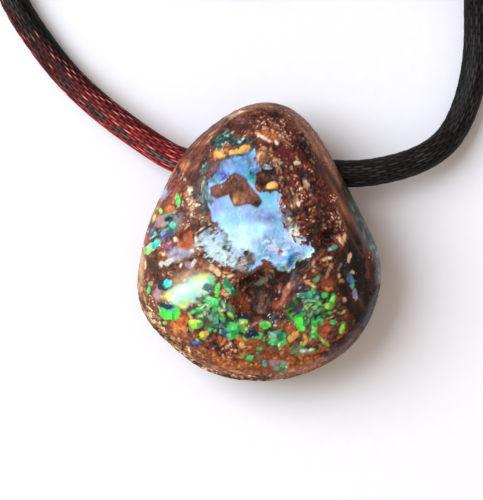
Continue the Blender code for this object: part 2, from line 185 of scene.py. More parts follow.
# hard chips and stains by part of the stone: hue, mark
CHIPS = (
    # left foot
    ("mauve", -9.2, -4.6, 0.6, 0.32, -80), ("sage", -9.75, -3.75, 0.3, 0.2, 60),
    ("maroon", -5.6, -6.4, 0.35, 0.35, 0), ("sage", -4.3, -6.65, 0.45, 0.4, 0),
    ("deep", -3.95, -7.7, 0.8, 0.3, 5), ("navy", -5.8, -9.1, 0.45, 0.25, -15),
    ("maroon", -4.85, -7.35, 0.75, 0.35, -90), ("cream", -6.2, -6.75, 0.4, 0.1, -65),
    ("navy", -5.4, -6.2, 0.55, 0.05, 35), ("orange", -3.55, -8.8, 0.3, 0.15, -90),
    ("cream", -3.8, -2.7, 0.35, 0.25, -40), ("cream", -6.7, -3.45, 0.15, 0.1, 40),
    # middle foot
    ("olive", -2.7, -6, 0.5, 0.4, 0), ("gold", -3.05, -4.7, 0.35, 0.15, -15),
    ("amber", -3.2, -8.9, 0.35, 0.15, 50), ("umber", -2.85, -5.2, 0.35, 0.15, 10),
    ("cream", -2.6, -3.05, 0.3, 0.1, 20), ("pink", -0.55, -7.45, 0.35, 0.1, 40),
    ("orange", 2.7, -7.95, 0.45, 0.35, 40), ("amber", -1.7, -8.85, 0.4, 0.2, -40),
    # hollow
    ("black", 1.45, -3.15, 0.95, 0.36, 78), ("black", 0, -4.2, 0.6, 0.36, 30),
    ("black", 1.25, -4.75, 0.65, 0.38, 70), ("black", -0.5, -6.05, 0.55, 0.34, 80),
    ("black", 1, -5.95, 0.45, 0.32, 60), ("black", -0.95, -4.7, 0.45, 0.25, -80),
    ("black", -1.3, -3.6, 0.55, 0.32, 10), ("black", -2.25, -2.7, 0.18, 0.16, 0),
    ("black", 2.6, -3.45, 0.85, 0.3, 38), ("brown", 0.75, -2.15, 0.45, 0.5, 0),
    ("rust", 2.4, -4.4, 0.6, 0.3, 55), ("rust", 1.8, -5.5, 0.7, 0.34, 40),
    ("brown", 0.2, -5.4, 0.55, 0.16, 75), ("sheen", -0.75, -2.45, 0.75, 0.3, 28),
    ("chalk", -0.45, -2.1, 0.7, 0.05, 28), ("sheen", 0.45, -3.4, 0.75, 0.2, 30),
    ("grey", -1, -3.95, 0.55, 0.05, 40), ("rust", -1.6, -5.35, 0.95, 0.34, -66),
    ("orange", -1.7, -5.15, 0.6, 0.17, -70), ("tan", 2.6, -3.95, 0.17, 0.1, -80),
    ("black", -1.65, -6.65, 0.4, 0.25, 0),
    # middle face
    ("tan", -4.25, -2.3, 0.3, 0.25, -40), ("black", 3.8, -1.9, 0.55, 0.45, 60),
    # left flank
    ("cream", -7.1, -2.15, 0.15, 0.1, 60), ("cream", -5.95, -1.9, 0.25, 0.15, 60),
    ("umber", -9.75, -2.3, 0.35, 0.3, -90), ("maroon", -5.4, -2.25, 0.35, 0.25, 0),
    ("lavender", -8.7, 4.35, 0.6, 0.35, 50), ("mauve", -8.45, 1.8, 0.75, 0.35, 25),
    ("mauve", -9, 2.05, 0.4, 0.2, 25), ("pink", -8.05, 2.55, 0.55, 0.05, 20),
    ("orange", -8, 3, 0.45, 0.3, 0), ("gold", -7.75, 3.5, 0.15, 0.1, -90),
    ("amber", -8.1, 3.15, 0.15, 0.1, -90), ("black", -8.2, 1.55, 0.5, 0.05, 40),
    ("soot", -7.75, 0.55, 0.35, 0.2, 35), ("slate", -9.6, 0.8, 0.4, 0.35, -90),
    ("black", -9.75, 0.2, 0.35, 0.1, 40), ("plum", -8.3, -0.35, 0.5, 0.35, 20),
    ("pink", -8.1, -0.15, 0.15, 0.1, 0), ("rust", -10.3, 0.35, 0.55, 0.2, -80),
    ("cream", -10.55, -0.25, 0.3, 0.1, -80), ("cream", -6.55, 1.3, 0.3, 0.05, 50),
    ("slate", -7.1, 2.35, 0.3, 0.2, -90), ("black", -7.35, 2.35, 0.2, 0.1, -60),
    ("cream", -6.25, 4.75, 0.25, 0.2, 0), ("pearl", -6.3, 4.4, 0.25, 0.1, -80),
    ("cream", -6.1, 3.65, 0.25, 0.1, 80), ("pearl", -5.65, 3.3, 0.15, 0.1, -90),
    ("tan", -6.05, 2.95, 0.2, 0.2, 0), ("amber", -6.6, 4.3, 0.2, 0.2, 0),
    ("pearl", -5.35, 1.05, 0.35, 0.05, 35), ("pearl", -5.7, 0.15, 0.3, 0.1, -85),
    ("chalk", -5.2, 0.25, 0.35, 0.35, 0), ("pearl", -5.55, -0.3, 0.2, 0.1, 10),
    ("lavender", -7.65, -1.1, 0.65, 0.45, 30), ("chalk", -8.3, -1.8, 0.6, 0.25, 20),
    ("lavender", -6.6, -1.05, 0.35, 0.25, 0), ("cream", -8.65, -1.15, 0.15, 0.15, -90),
    ("cream", -6.1, -0.8, 0.15, 0.15, 0), ("pearl", -7.1, -2.15, 0.2, 0.1, 65),
    ("mauve", -6.45, -2.1, 0.35, 0.25, 0), ("chalk", -5.95, -1.9, 0.3, 0.1, 65),
    ("rust", -6.9, 0.7, 0.35, 0.2, -90), ("tan", -7.45, 0.15, 0.35, 0.2, -30),
    ("rust", -6.55, -0.2, 0.55, 0.2, 30), ("orange", -6.2, 0.45, 0.6, 0.15, -90),
    ("pearl", -7.6, 0.25, 0.15, 0.1, 60), ("cream", -10.3, -1.95, 0.4, 0.1, -90),
    ("umber", -9.9, -1.75, 0.35, 0.35, 0), ("grey", -7.45, 1.65, 0.65, 0.35, -90),
    # right foot
    ("navy", 3.65, -4.1, 0.5, 0.5, -90), ("brown", 3.8, -5.65, 0.5, 0.3, 0),
    ("amber", 6.1, -4.25, 0.35, 0.2, 0), ("rust", 6.1, -3.6, 0.45, 0.4, 0),
    ("tan", 6.15, -2.7, 0.4, 0.1, 70), ("cream", 7.15, -3.1, 0.2, 0.1, -90),
    ("honey", 7.35, -3.5, 0.2, 0.15, 0), ("tan", 4.85, -2.6, 0.15, 0.15, 0),
    ("tan", 7.65, -5.25, 0.2, 0.15, -90), ("tan", 7.65, -6.3, 0.2, 0.15, -90),
    ("deep", 4.35, -7.5, 0.75, 0.25, 85), ("rust", 5.95, -7.8, 0.75, 0.7, -90),
    ("orange", 6.1, -7.8, 0.3, 0.2, 0), ("gold", 3.1, -8.6, 0.35, 0.15, 50),
    ("gold", 4.15, -8.7, 0.4, 0.15, -70), ("maroon", 3.55, -8.85, 0.4, 0.25, -90),
    ("cream", 8.35, -2.65, 0.2, 0.2, -90),
    # right side
    ("tan", 6.4, -2.15, 0.2, 0.2, 0), ("pearl", 6.3, -1.45, 0.15, 0.1, 0),
    ("grey", 7.25, -2.2, 0.55, 0.15, 60), ("tan", 5.85, -1.55, 0.25, 0.15, 30),
    ("tan", 4.8, -1.95, 0.3, 0.1, 70), ("brown", 5.4, -2.4, 0.25, 0.15, 10),
    ("blue", 8.2, -3.4, 0.5, 0.25, -70), ("sea", 8.4, -3.95, 0.35, 0.18, -70),
    ("lavender", 8.6, -4.6, 0.5, 0.22, -75), ("black", 7.6, -2, 0.75, 0.25, -90),
    ("cream", 7.6, 0.4, 0.35, 0.15, -90), ("cream", 8.05, -1.5, 0.4, 0.15, 75),
    ("tan", 4.15, 5.15, 0.5, 0.2, -70),
    # upper face
    # a painted highlight along the top rim, in tan and cream
    ("tan", -2.2, 11.5, 0.75, 0.11, 24), ("cream", -1.6, 11.75, 0.3, 0.08, 8),
    ("black", -1.1, 8.6, 0.2, 0.2, -90), ("sea", -0.85, 8, 0.35, 0.2, 40),
    ("honey", -3.05, 8.25, 0.35, 0.2, 0), ("gold", -3.65, 7.9, 0.48, 0.42, 0),
    ("amber", -3.95, 7.65, 0.2, 0.2, 0), ("gold", -2.05, 8.05, 0.95, 0.25, 8),
    ("gold", -1.35, 8.4, 0.4, 0.22, 20), ("black", -0.4, 7.75, 0.45, 0.05, -90),
    ("brown", 0.5, 7.75, 0.5, 0.45, 0), ("tan", -0.15, 7.55, 0.45, 0.15, 85),
    ("cream", 0, 7.85, 0.15, 0.15, -90), ("honey", 0.35, 7.85, 0.3, 0.15, -90),
    ("black", 0.85, 6.45, 0.4, 0.2, 30), ("rust", 0.55, 9.5, 0.65, 0.35, -10),
    ("orange", 0.7, 9.8, 0.35, 0.15, -10), ("maroon", 0.35, 8.9, 0.5, 0.3, 0),
    ("pearl", 0.35, 9.35, 0.6, 0.14, -30), ("cream", -0.05, 9.55, 0.15, 0.15, -90),
    ("pearl", 1.5, 8.95, 0.24, 0.13, -60), ("grey", 1.9, 9.45, 0.45, 0.15, 60),
    ("cream", 1.55, 7.35, 0.15, 0.1, 0), ("umber", 1.7, 7, 0.2, 0.15, 0),
    ("pearl", 3.35, 7.1, 0.3, 0.2, 10), ("tan", 2.85, 6.65, 0.2, 0.15, -30),
    ("tan", 0.4, 8.4, 0.2, 0.1, -20), ("tan", 2.55, 8.9, 0.35, 0.05, -40),
    ("maroon", 2.3, 7.95, 0.65, 0.6, -90), ("tan", 1, 8.35, 0.15, 0.1, -90),
    ("tan", -2.35, 11.35, 0.4, 0.15, 40), ("cream", 3.25, 5.9, 0.25, 0.1, 0),
)

# flakes of precious opal: hue, mark
FLASHES = (
    # left foot
    ("fire", -8.15, -6.3, 0.98, 0.72, -14), ("aqua", -8.2, -5.95, 0.68, 0.26, -14),
    ("navy", -8.3, -5.8, 0.62, 0.22, -14), ("leaf", -9.05, -6, 0.25, 0.06, -60),
    ("navy", -8.5, -3.8, 0.62, 0.5, 20), ("aqua", -8.22, -3.74, 0.4, 0.4, 0),
    ("cyan", -8.12, -3.68, 0.22, 0.2, 0), ("spring", -10, -4.35, 0.35, 0.15, 80),
    ("teal", -4.55, -4.2, 0.5, 0.28, -20), ("fire", -3.8, -4.35, 0.65, 0.2, 80),
    ("spring", -3.65, -3.9, 0.25, 0.15, 80), ("spring", -4.3, -5.35, 0.6, 0.4, -10),
    ("mint", -4.55, -5.05, 0.15, 0.15, 0), ("spring", -5.65, -6.15, 0.7, 0.2, 20),
    ("ice", -5.1, -5.85, 0.25, 0.05, 40), ("lime", -5.8, -7.35, 0.55, 0.4, 10),
    ("acid", -6.05, -7.2, 0.2, 0.2, 0), ("sea", -3.95, -7.05, 0.35, 0.25, -90),
    ("emerald", -3.95, -6.05, 0.25, 0.2, 0), ("sea", -3.55, -7.6, 0.2, 0.1, 60),
    ("spring", -4.5, -7.8, 0.2, 0.15, -90), ("acid", -5.05, -8.45, 0.35, 0.35, -85),
    ("gold", -4.8, -8.3, 0.3, 0.15, -90), ("moss", -4.45, -7.5, 0.35, 0.2, 0),
    ("spring", -8.55, -7.3, 0.15, 0.15, 0), ("indigo", -5.7, -9.1, 0.45, 0.2, 0),
    # middle foot
    ("emerald", -2.7, -4.2, 0.75, 0.35, -40), ("mint", -2.8, -4.35, 0.25, 0.15, -40),
    ("emerald", -3.05, -3.6, 0.35, 0.25, -90), ("leaf", -3.35, -6.15, 0.15, 0.1, 0),
    ("spring", -2.35, -7.7, 0.5, 0.5, -90), ("spring", -2.85, -7.9, 0.25, 0.15, 0),
    ("mint", -2.45, -8.5, 0.15, 0.1, 60), ("sage", -3.25, -5.6, 0.4, 0.15, -70),
    ("leaf", -3.2, -5.8, 0.25, 0.05, -80), ("emerald", 1.6, -8.6, 0.7, 0.55, -10),
    ("sea", 1.35, -8.25, 0.5, 0.25, 10), ("spring", 1.9, -9.15, 0.25, 0.2, 40),
    ("ice", 1.75, -9.25, 0.15, 0.1, -90), ("spring", 1.1, -9, 0.3, 0.15, 10),
    ("spring", 2.2, -8.85, 0.4, 0.15, -90), ("fire", 0.55, -7.45, 0.5, 0.3, 10),
    ("navy", 1.3, -7.05, 0.5, 0.3, -90), ("ice", 1.4, -7.5, 0.15, 0.1, 0),
    ("fire", -0.15, -8.4, 0.4, 0.3, 10), ("indigo", -0.75, -8.2, 0.5, 0.3, 25),
    ("lime", -1.45, -7.2, 0.35, 0.3, 0), ("leaf", -1.55, -7.25, 0.15, 0.15, 0),
    ("lime", -1.35, -7.85, 0.25, 0.25, 0), ("spring", -0.9, -10.5, 0.3, 0.25, 0),
    ("emerald", 0, -9.65, 0.25, 0.15, 0), ("sage", 1.85, -11.2, 0.75, 0.5, 0),
    ("mauve", 1.25, -10.95, 0.4, 0.3, 0), ("spring", -0.15, -8.4, 0.4, 0.25, 10),
    ("navy", -0.85, -8.25, 0.65, 0.35, 10), ("indigo", -3.1, -8.25, 0.3, 0.25, 0),
    ("spring", -2.6, -8.5, 0.3, 0.25, 0), ("gold", -1.65, -9.35, 0.25, 0.25, 0),
    ("gold", -2.15, -9.8, 0.15, 0.15, 0),
    # hollow
    ("lime", -2.6, -6.55, 0.3, 0.15, -40), ("black", 1.6, -6.8, 0.25, 0.05, -80),
    ("navy", -1.35, -6.7, 0.4, 0.25, 0),
    # right foot
    ("fire", 3.6, -7.25, 0.6, 0.4, -80), ("fire", 3.8, -7.7, 0.35, 0.3, -90),
    ("fire", 4.9, -7.55, 0.45, 0.25, -90), ("fire", 4.85, -8.25, 0.4, 0.3, -90),
    ("gold", 4.5, -3.75, 0.5, 0.15, -30), ("leaf", 4.8, -4, 0.2, 0.1, -30),
    ("sage", 5.15, -3.35, 0.4, 0.25, 45), ("emerald", 4.8, -4.95, 0.6, 0.5, 0),
    ("moss", 5, -4.85, 0.2, 0.2, -90), ("mint", 4.75, -5.3, 0.4, 0.1, -5),
    ("aqua", 4.45, -4.8, 0.3, 0.2, -70), ("cyan", 5.2, -5, 0.2, 0.15, 60),
    ("navy", 5.4, -4.75, 0.25, 0.1, 70), ("fire", 6.55, -5.25, 0.6, 0.25, 75),
    ("lime", 6.15, -5.75, 0.35, 0.3, 0), ("spring", 5.85, -4.75, 0.3, 0.3, -90),
    ("spring", 6.3, -6.4, 0.2, 0.15, 0), ("sea", 3.7, -4.75, 0.45, 0.15, 10),
    ("black", 3.35, -5.05, 0.15, 0.15, 0), ("lime", 7.45, -7.8, 0.5, 0.2, 75),
    ("lime", 6.7, -7.25, 0.25, 0.2, 0), ("lime", 5.65, -8.85, 0.6, 0.1, -50),
    ("lime", 6.1, -9.2, 0.3, 0.1, -50), ("sage", 3.9, -9.85, 0.75, 0.25, -5),
    ("ice", 3.95, -9.85, 0.3, 0.15, 0), ("pearl", 4.65, -9.75, 0.2, 0.15, 0),
    ("spring", 6.65, -7.25, 0.25, 0.2, 0), ("gold", 3.05, -8.5, 0.55, 0.3, 40),
    ("gold", 4.15, -9, 0.35, 0.15, 60),
    # left flank
    ("fire", -7.35, 3.75, 0.55, 0.25, -90), ("leaf", -7.5, 4.05, 0.25, 0.05, 80),
    ("sage", -7.3, 3.25, 0.2, 0.15, -90), ("lime", -8.95, 2.85, 0.3, 0.2, -60),
    ("acid", -9.5, 2.15, 0.3, 0.1, 70), ("aqua", -7.75, 1.5, 0.3, 0.25, 60),
    ("mint", -7.65, 1.6, 0.15, 0.1, -90), ("sea", -8.4, 1.1, 0.35, 0.15, 20),
    ("indigo", -8.65, 0.6, 0.4, 0.4, 0), ("violet", -8.5, 0.6, 0.2, 0.15, -90),
    ("slate", -8.05, 0.8, 0.3, 0.3, 0), ("blue", -9.55, 0.95, 0.2, 0.2, 0),
    ("ice", -9.6, 0.45, 0.25, 0.05, 40), ("aqua", -9.4, 0.75, 0.15, 0.1, -90),
    ("lime", -10.05, -0.75, 0.4, 0.35, 35), ("mint", -9.6, -0.4, 0.5, 0.35, 35),
    ("aqua", -9.25, -0.1, 0.45, 0.3, 35), ("cyan", -9.1, 0, 0.15, 0.15, 35),
    # right side
    ("sea", 6.5, -0.6, 0.45, 0.2, 20),
)

# ---------------- the opal, outlines in mm
OPAL_OUTLINE = (
    (-3.7, 7.2), (-3, 7.5), (-2.2, 7.6), (-1.4, 7.75), (-0.85, 8.1), (-0.5, 8.25), (-0.45, 7.5),
    (-0.2, 6.95), (1.2, 7.1), (1.2, 6.7), (-0.1, 6.4), (-0.5, 5.6), (-0.3, 4.9), (0.2, 4.3), (0.8, 4.5),
    (1.5, 4.3), (1.9, 3.5), (2.2, 2.5), (2.1, 1.5), (2.8, 1.3), (3.3, 0.7), (4, -0.1), (5, -0.5),
    (4.6, -1.3), (3.9, -1.6), (3.4, -1.8), (3.3, -2.4), (2.6, -2.8), (1.7, -2.5), (1, -1.8),
    (0.2, -1.8), (-0.4, -2.4), (-1.5, -2.7), (-2.1, -2.4), (-2.8, -2.2), (-4, -1.8), (-4.8, -1.2),
    (-5.5, -0.2), (-5.1, 0.5), (-4.3, 0.9), (-3.8, 1.5), (-4.3, 2.2), (-4.7, 3.4), (-4.9, 4.5),
    (-4.75, 5.6), (-4, 5.9), (-3.75, 6.5),
)
ISLAND_OUTLINE = (
    (-4.45, 4.85), (-4.1, 5.15), (-3.6, 5.2), (-3.1, 5.4), (-2.8, 5.85), (-2.35, 6.2), (-1.85, 6.1),
    (-1.3, 5.65), (-0.85, 5.05), (-0.4, 4.5), (0.05, 3.95), (0.2, 3.6), (-0.15, 3.15), (-0.4, 3.1),
    (-0.85, 3.35), (-1.4, 3.35), (-1.85, 3.15), (-2.3, 3.25), (-2.6, 3.7), (-2.8, 4.2), (-3.35, 4.05),
    (-3.9, 3.9), (-4.4, 4.2),
)
# marks on the island: mark, colour
ISLAND_MARKS = (
    (-1.75, 3.9, 0.75, 0.6, 0, "#8E5A34"), (-2.15, 3.65, 0.2, 0.25, 0, "#C08A54"),
    (-1.2, 3.75, 0.2, 0.25, 0, "#5E3420"), (-0.2, 3.45, 0.25, 0.25, 0, "#1C100C"),
    (-2.05, 5.2, 0.22, 0.16, 0, "#3E6458"), (-2.5, 4.1, 0.08, 0.4, 0, "#3A1C12"),
)
# the milky opal facet low on the left: opal, its whites partly a painted highlight
MILKY_HIGHLIGHT_OUTLINE = (
    (-8.9, -4.9), (-8.1, -4.3), (-6.9, -3.7), (-6, -3.1), (-5.4, -2.8), (-4.5, -2.9), (-3.9, -3.3),
    (-4.4, -4.4), (-5.4, -5.3), (-6.3, -5.6), (-6.7, -6.1), (-7.4, -5.9), (-8.3, -5.3),
)
OPAL_GROUND = "#8DB6E6"
MILKY_HIGHLIGHT_GROUND = "#B4E2D0"
# mark, softness, colour
OPAL_TINTS = (
    # the upper lobe: blues, with a violet spot and a teal edge
    (-1.7, 6.7, 1.6, 1.5, 0, 0.7, "#2A74B4"), (-2.3, 6.5, 0.8, 0.5, 20, 0.4, "#4E86C2"),
    (-3.3, 7.1, 0.8, 0.6, 0, 0.3, "#2C5674"), (-1, 6.8, 0.6, 0.9, 0, 0.4, "#1862C6"),
    (-0.6, 7.2, 0.45, 0.4, 0, 0.25, "#54698E"), (-3.7, 5.95, 0.85, 0.55, 10, 0.2, "#302C98"),
    (-4.35, 5.6, 0.7, 0.5, 0, 0.2, "#22587C"), (-0.75, 5.8, 0.36, 1.15, 22, 0.25, "#1E8A8C"),
    (-4.75, 4.2, 0.25, 1.3, -5, 0.2, "#2E6A66"), (0.5, 6.85, 0.9, 0.22, 8, 0.15, "#4C8890"),
    # the middle: cyan, lilac and a cyan white heart
    (0.6, 3.9, 0.8, 0.6, 30, 0.4, "#6CBCDC"), (-0.4, 2.5, 1.9, 0.8, 0, 0.7, "#7A9EC6"),
    (-3.9, 2.9, 0.5, 0.8, 10, 0.4, "#929CE8"), (-3.4, 1.7, 0.9, 0.9, 0, 0.5, "#96CCF0"),
    (1.5, 1.3, 0.6, 0.9, 0, 0.4, "#72B8DC"), (0.6, 2.1, 0.9, 0.6, 0, 0.45, "#6076A6"),
    (-1.3, 0.7, 1.9, 0.8, 12, 0.6, "#BEE8F2"), (-1.6, -0.4, 1.3, 0.6, 0, 0.5, "#C6E8EE"),
    # the right lobe
    (0.6, -0.2, 0.7, 0.8, 0, 0.5, "#6C8CA8"), (2.7, -0.2, 1.2, 0.9, 0, 0.5, "#A4C8F2"),
    (3, 0.4, 0.8, 0.45, -30, 0.3, "#BEDCEE"), (1.4, -0.9, 0.7, 0.45, 0, 0.35, "#9498D4"),
    (2.75, -1.6, 0.7, 0.75, -20, 0.35, "#44B2F0"), (3.6, -0.9, 0.7, 0.4, 10, 0.3, "#8CBCF4"),
    (4.4, -1, 0.65, 0.07, 36, 0.06, "#A6DCB4"), (2.3, -2.4, 0.7, 0.3, 10, 0.2, "#3CA8A0"),
    (0.4, -1.4, 0.8, 0.3, 0, 0.25, "#66AAC4"),
    # chalk, the grey lump and its hole, and small flecks
    (-3.6, -0.9, 1.5, 1, -25, 0.5, "#BCD0D2"), (-4.6, -0.1, 0.7, 0.6, 0, 0.4, "#A0B8C4"),
    (-2.5, -1.7, 0.9, 0.5, 10, 0.35, "#D0E2E4"), (-3.1, 0, 0.9, 0.28, -72, 0.2, "#56706F"),
    (-1.5, -1.9, 0.95, 0.6, 78, 0.2, "#927E78"), (-0.8, -1.5, 0.65, 0.36, -78, 0.12, "#54342A"),
    (-1.25, -1.1, 0.28, 0.17, 60, 0.06, "#0E0A09"), (3.75, -1.75, 0.28, 0.25, 40, 0.1, "#120D0C"),
    (2.05, -0.85, 0.2, 0.16, 0, 0.08, "#B4683E"),
)
# parts of the opal that another stuff shows through: mark, the share that it takes, recipe
FROSTED = (
    (-3.9, -0.9, 1.7, 1, -20, 0.55, "chalk"), (-2.4, -1.8, 1.1, 0.6, 0, 0.5, "chalk"),
    (-3.6, -0.9, 1.9, 1.2, -20, 0.05, "specks in chalk"),
    (-3, 0.1, 0.42, 0.8, 10, 0.4, "specks in chalk"), (-1.35, -2, 0.9, 0.7, 78, 0.6, "ridge"),
    (2.4, 2.3, 0.5, 1.3, 25, 0.45, "frayed edge"), (3.2, 1.2, 0.9, 0.5, -35, 0.35, "frayed edge"),
    (0.9, 6.9, 0.7, 0.3, 0, 0.4, "frayed edge"), (-4, 0.9, 0.8, 0.5, 10, 0.35, "frayed edge"),
    (-4.6, 3, 0.3, 1.3, -5, 0.35, "teal glass"), (-0.6, 6.2, 0.35, 1.2, 20, 0.2, "teal glass"),
)
# where opal and ironstone break up into each other: marks
FRAYED = ((2.5, 2.6, 1, 2, 20), (3.5, 0.6, 1.4, 0.9, -30), (-4.4, 1, 1, 0.8, 0),
          (-4.2, -1.2, 1.8, 0.7, -25), (0.5, 7, 1, 0.5, 0))
MILKY_HIGHLIGHT_SOFTNESS = 0.26  # the soft edge of the facet and of its painted highlight, in mm
MILKY_HIGHLIGHT_TINTS = (
    (-8.4, -5, 0.6, 0.3, -15, 0.2, "#E8F078"), (-6.2, -4.7, 0.9, 0.45, 30, 0.4, "#A2DED0"),
    (-6.2, -4, 1.5, 0.35, 30, 0.25, "#DCEADA"), (-7.4, -4.6, 0.9, 0.3, 28, 0.2, "#E0E6D0"),
    (-5, -3.9, 0.8, 0.8, 0, 0.4, "#CFF4D2"), (-5.2, -3.1, 0.7, 0.25, 10, 0.15, "#D8DC74"),
    (-7.2, -5.9, 0.6, 0.3, 10, 0.2, "#E4EE6C"), (-6.9, -5.4, 0.9, 0.3, 10, 0.2, "#B4DC90"),
    (-4.1, -3.8, 0.6, 0.75, 0, 0.25, "#62C886"), (-4.45, -4.1, 0.42, 0.3, -20, 0.15, "#2E5A4E"),
    (-8.5, -4.95, 0.55, 0.25, 30, 0.2, "#E0DC60"),
)

# ---------------- the finest patterns
# colours from the lowest grains to the highest, each after the share of grains below it
RECIPES = {
    "black hollow": (
        0, "#060404", 0.5, "#120A08", 0.68, "#2C130D", 0.84, "#541F12", 0.95, "#743420", 1, "#8C6A54"),
    "rust streaks": (0, "#0E0706", 0.34, "#30120C", 0.64, "#5E2415", 0.87, "#904224", 1, "#C07A48"),
    "mossy opal": (
        0, "#111A14", 0.3, "#203622", 0.58, "#34582F", 0.8, "#4E7A40", 0.93, "#6EA056", 1, "#B8E0A0"),
    "maroon glass": (0, "#1E0A09", 0.4, "#361310", 0.8, "#521F19", 0.96, "#6E3024", 1, "#8E5440"),
    "dark rust": (0, "#0C0706", 0.32, "#20100D", 0.56, "#421A14", 0.8, "#6A2A1C", 1, "#94563C"),
    "frayed edge": (0, "#4A3020", 0.3, "#806248", 0.55, "#A89078", 0.8, "#CFC4B0", 1, "#FBF6EC"),
    "specks in chalk": (0, "#3A2018", 0.08, "#54402F", 0.14, "#6E8488", 1, "#8CA4A8"),
    "chalk": (0, "#7C9294", 0.25, "#A4BCC0", 0.5, "#C0D8DA", 0.8, "#D8ECEC", 1, "#FFFFFF"),
    "ridge": (0, "#2A1814", 0.3, "#6A4A3C", 0.55, "#948480", 0.8, "#BCB4B4", 1, "#ECE8E8"),
    "tan rim": (
        0, "#2A140C", 0.22, "#5E3018", 0.5, "#8E5A30", 0.75, "#B68450", 0.92, "#D8B080", 1, "#FFF0D0"),
    "dark sugar": (
        0, "#080404", 0.3, "#1A0A08", 0.55, "#46160F", 0.8, "#6C281A", 0.94, "#9A5C3A", 1, "#F4DCB4"),
    "red brown sugar": (
        0, "#1C0B08", 0.3, "#3E160F", 0.6, "#62261A", 0.85, "#844430", 0.95, "#A87456", 1, "#DEBA96"),
    "tan sugar": (
        0, "#180C0A", 0.25, "#3E2018", 0.5, "#6C4230", 0.72, "#90644A", 0.9, "#BE9270", 1, "#F6DCC0"),
    "left rind": (0, "#32150F", 0.35, "#502419", 0.65, "#6C3524", 0.9, "#854A30", 1, "#B58458"),
    "orange rind": (0, "#501F17", 0.3, "#74311F", 0.6, "#8C402A", 0.86, "#9E5236", 1, "#BC8056"),
    "right rind": (0, "#1E0D0A", 0.35, "#3E1C14", 0.65, "#5E301E", 0.85, "#80492A", 1, "#A06C3E"),
    "black rind": (0, "#060404", 0.55, "#120A09", 0.82, "#24120E", 0.95, "#3E2218", 1, "#664428"),
    "teal edge": (0, "#101814", 0.35, "#223028", 0.65, "#354A42", 0.88, "#56706A", 1, "#9CB4AC"),
    "teal glass": (0, "#080C0B", 0.35, "#15302C", 0.64, "#26504C", 0.86, "#487C76", 1, "#D0E2D8"),
    "amber glass": (0, "#6C2E15", 0.3, "#84401D", 0.6, "#985026", 0.85, "#AC6232", 1, "#CC8C50"),
    "orange glass": (0, "#8A3A18", 0.5, "#B05626", 1, "#D07A38"),
}
POLISHED = ("teal glass", "maroon glass", "amber glass", "orange glass", "mossy opal", "right rind",
            "black rind")
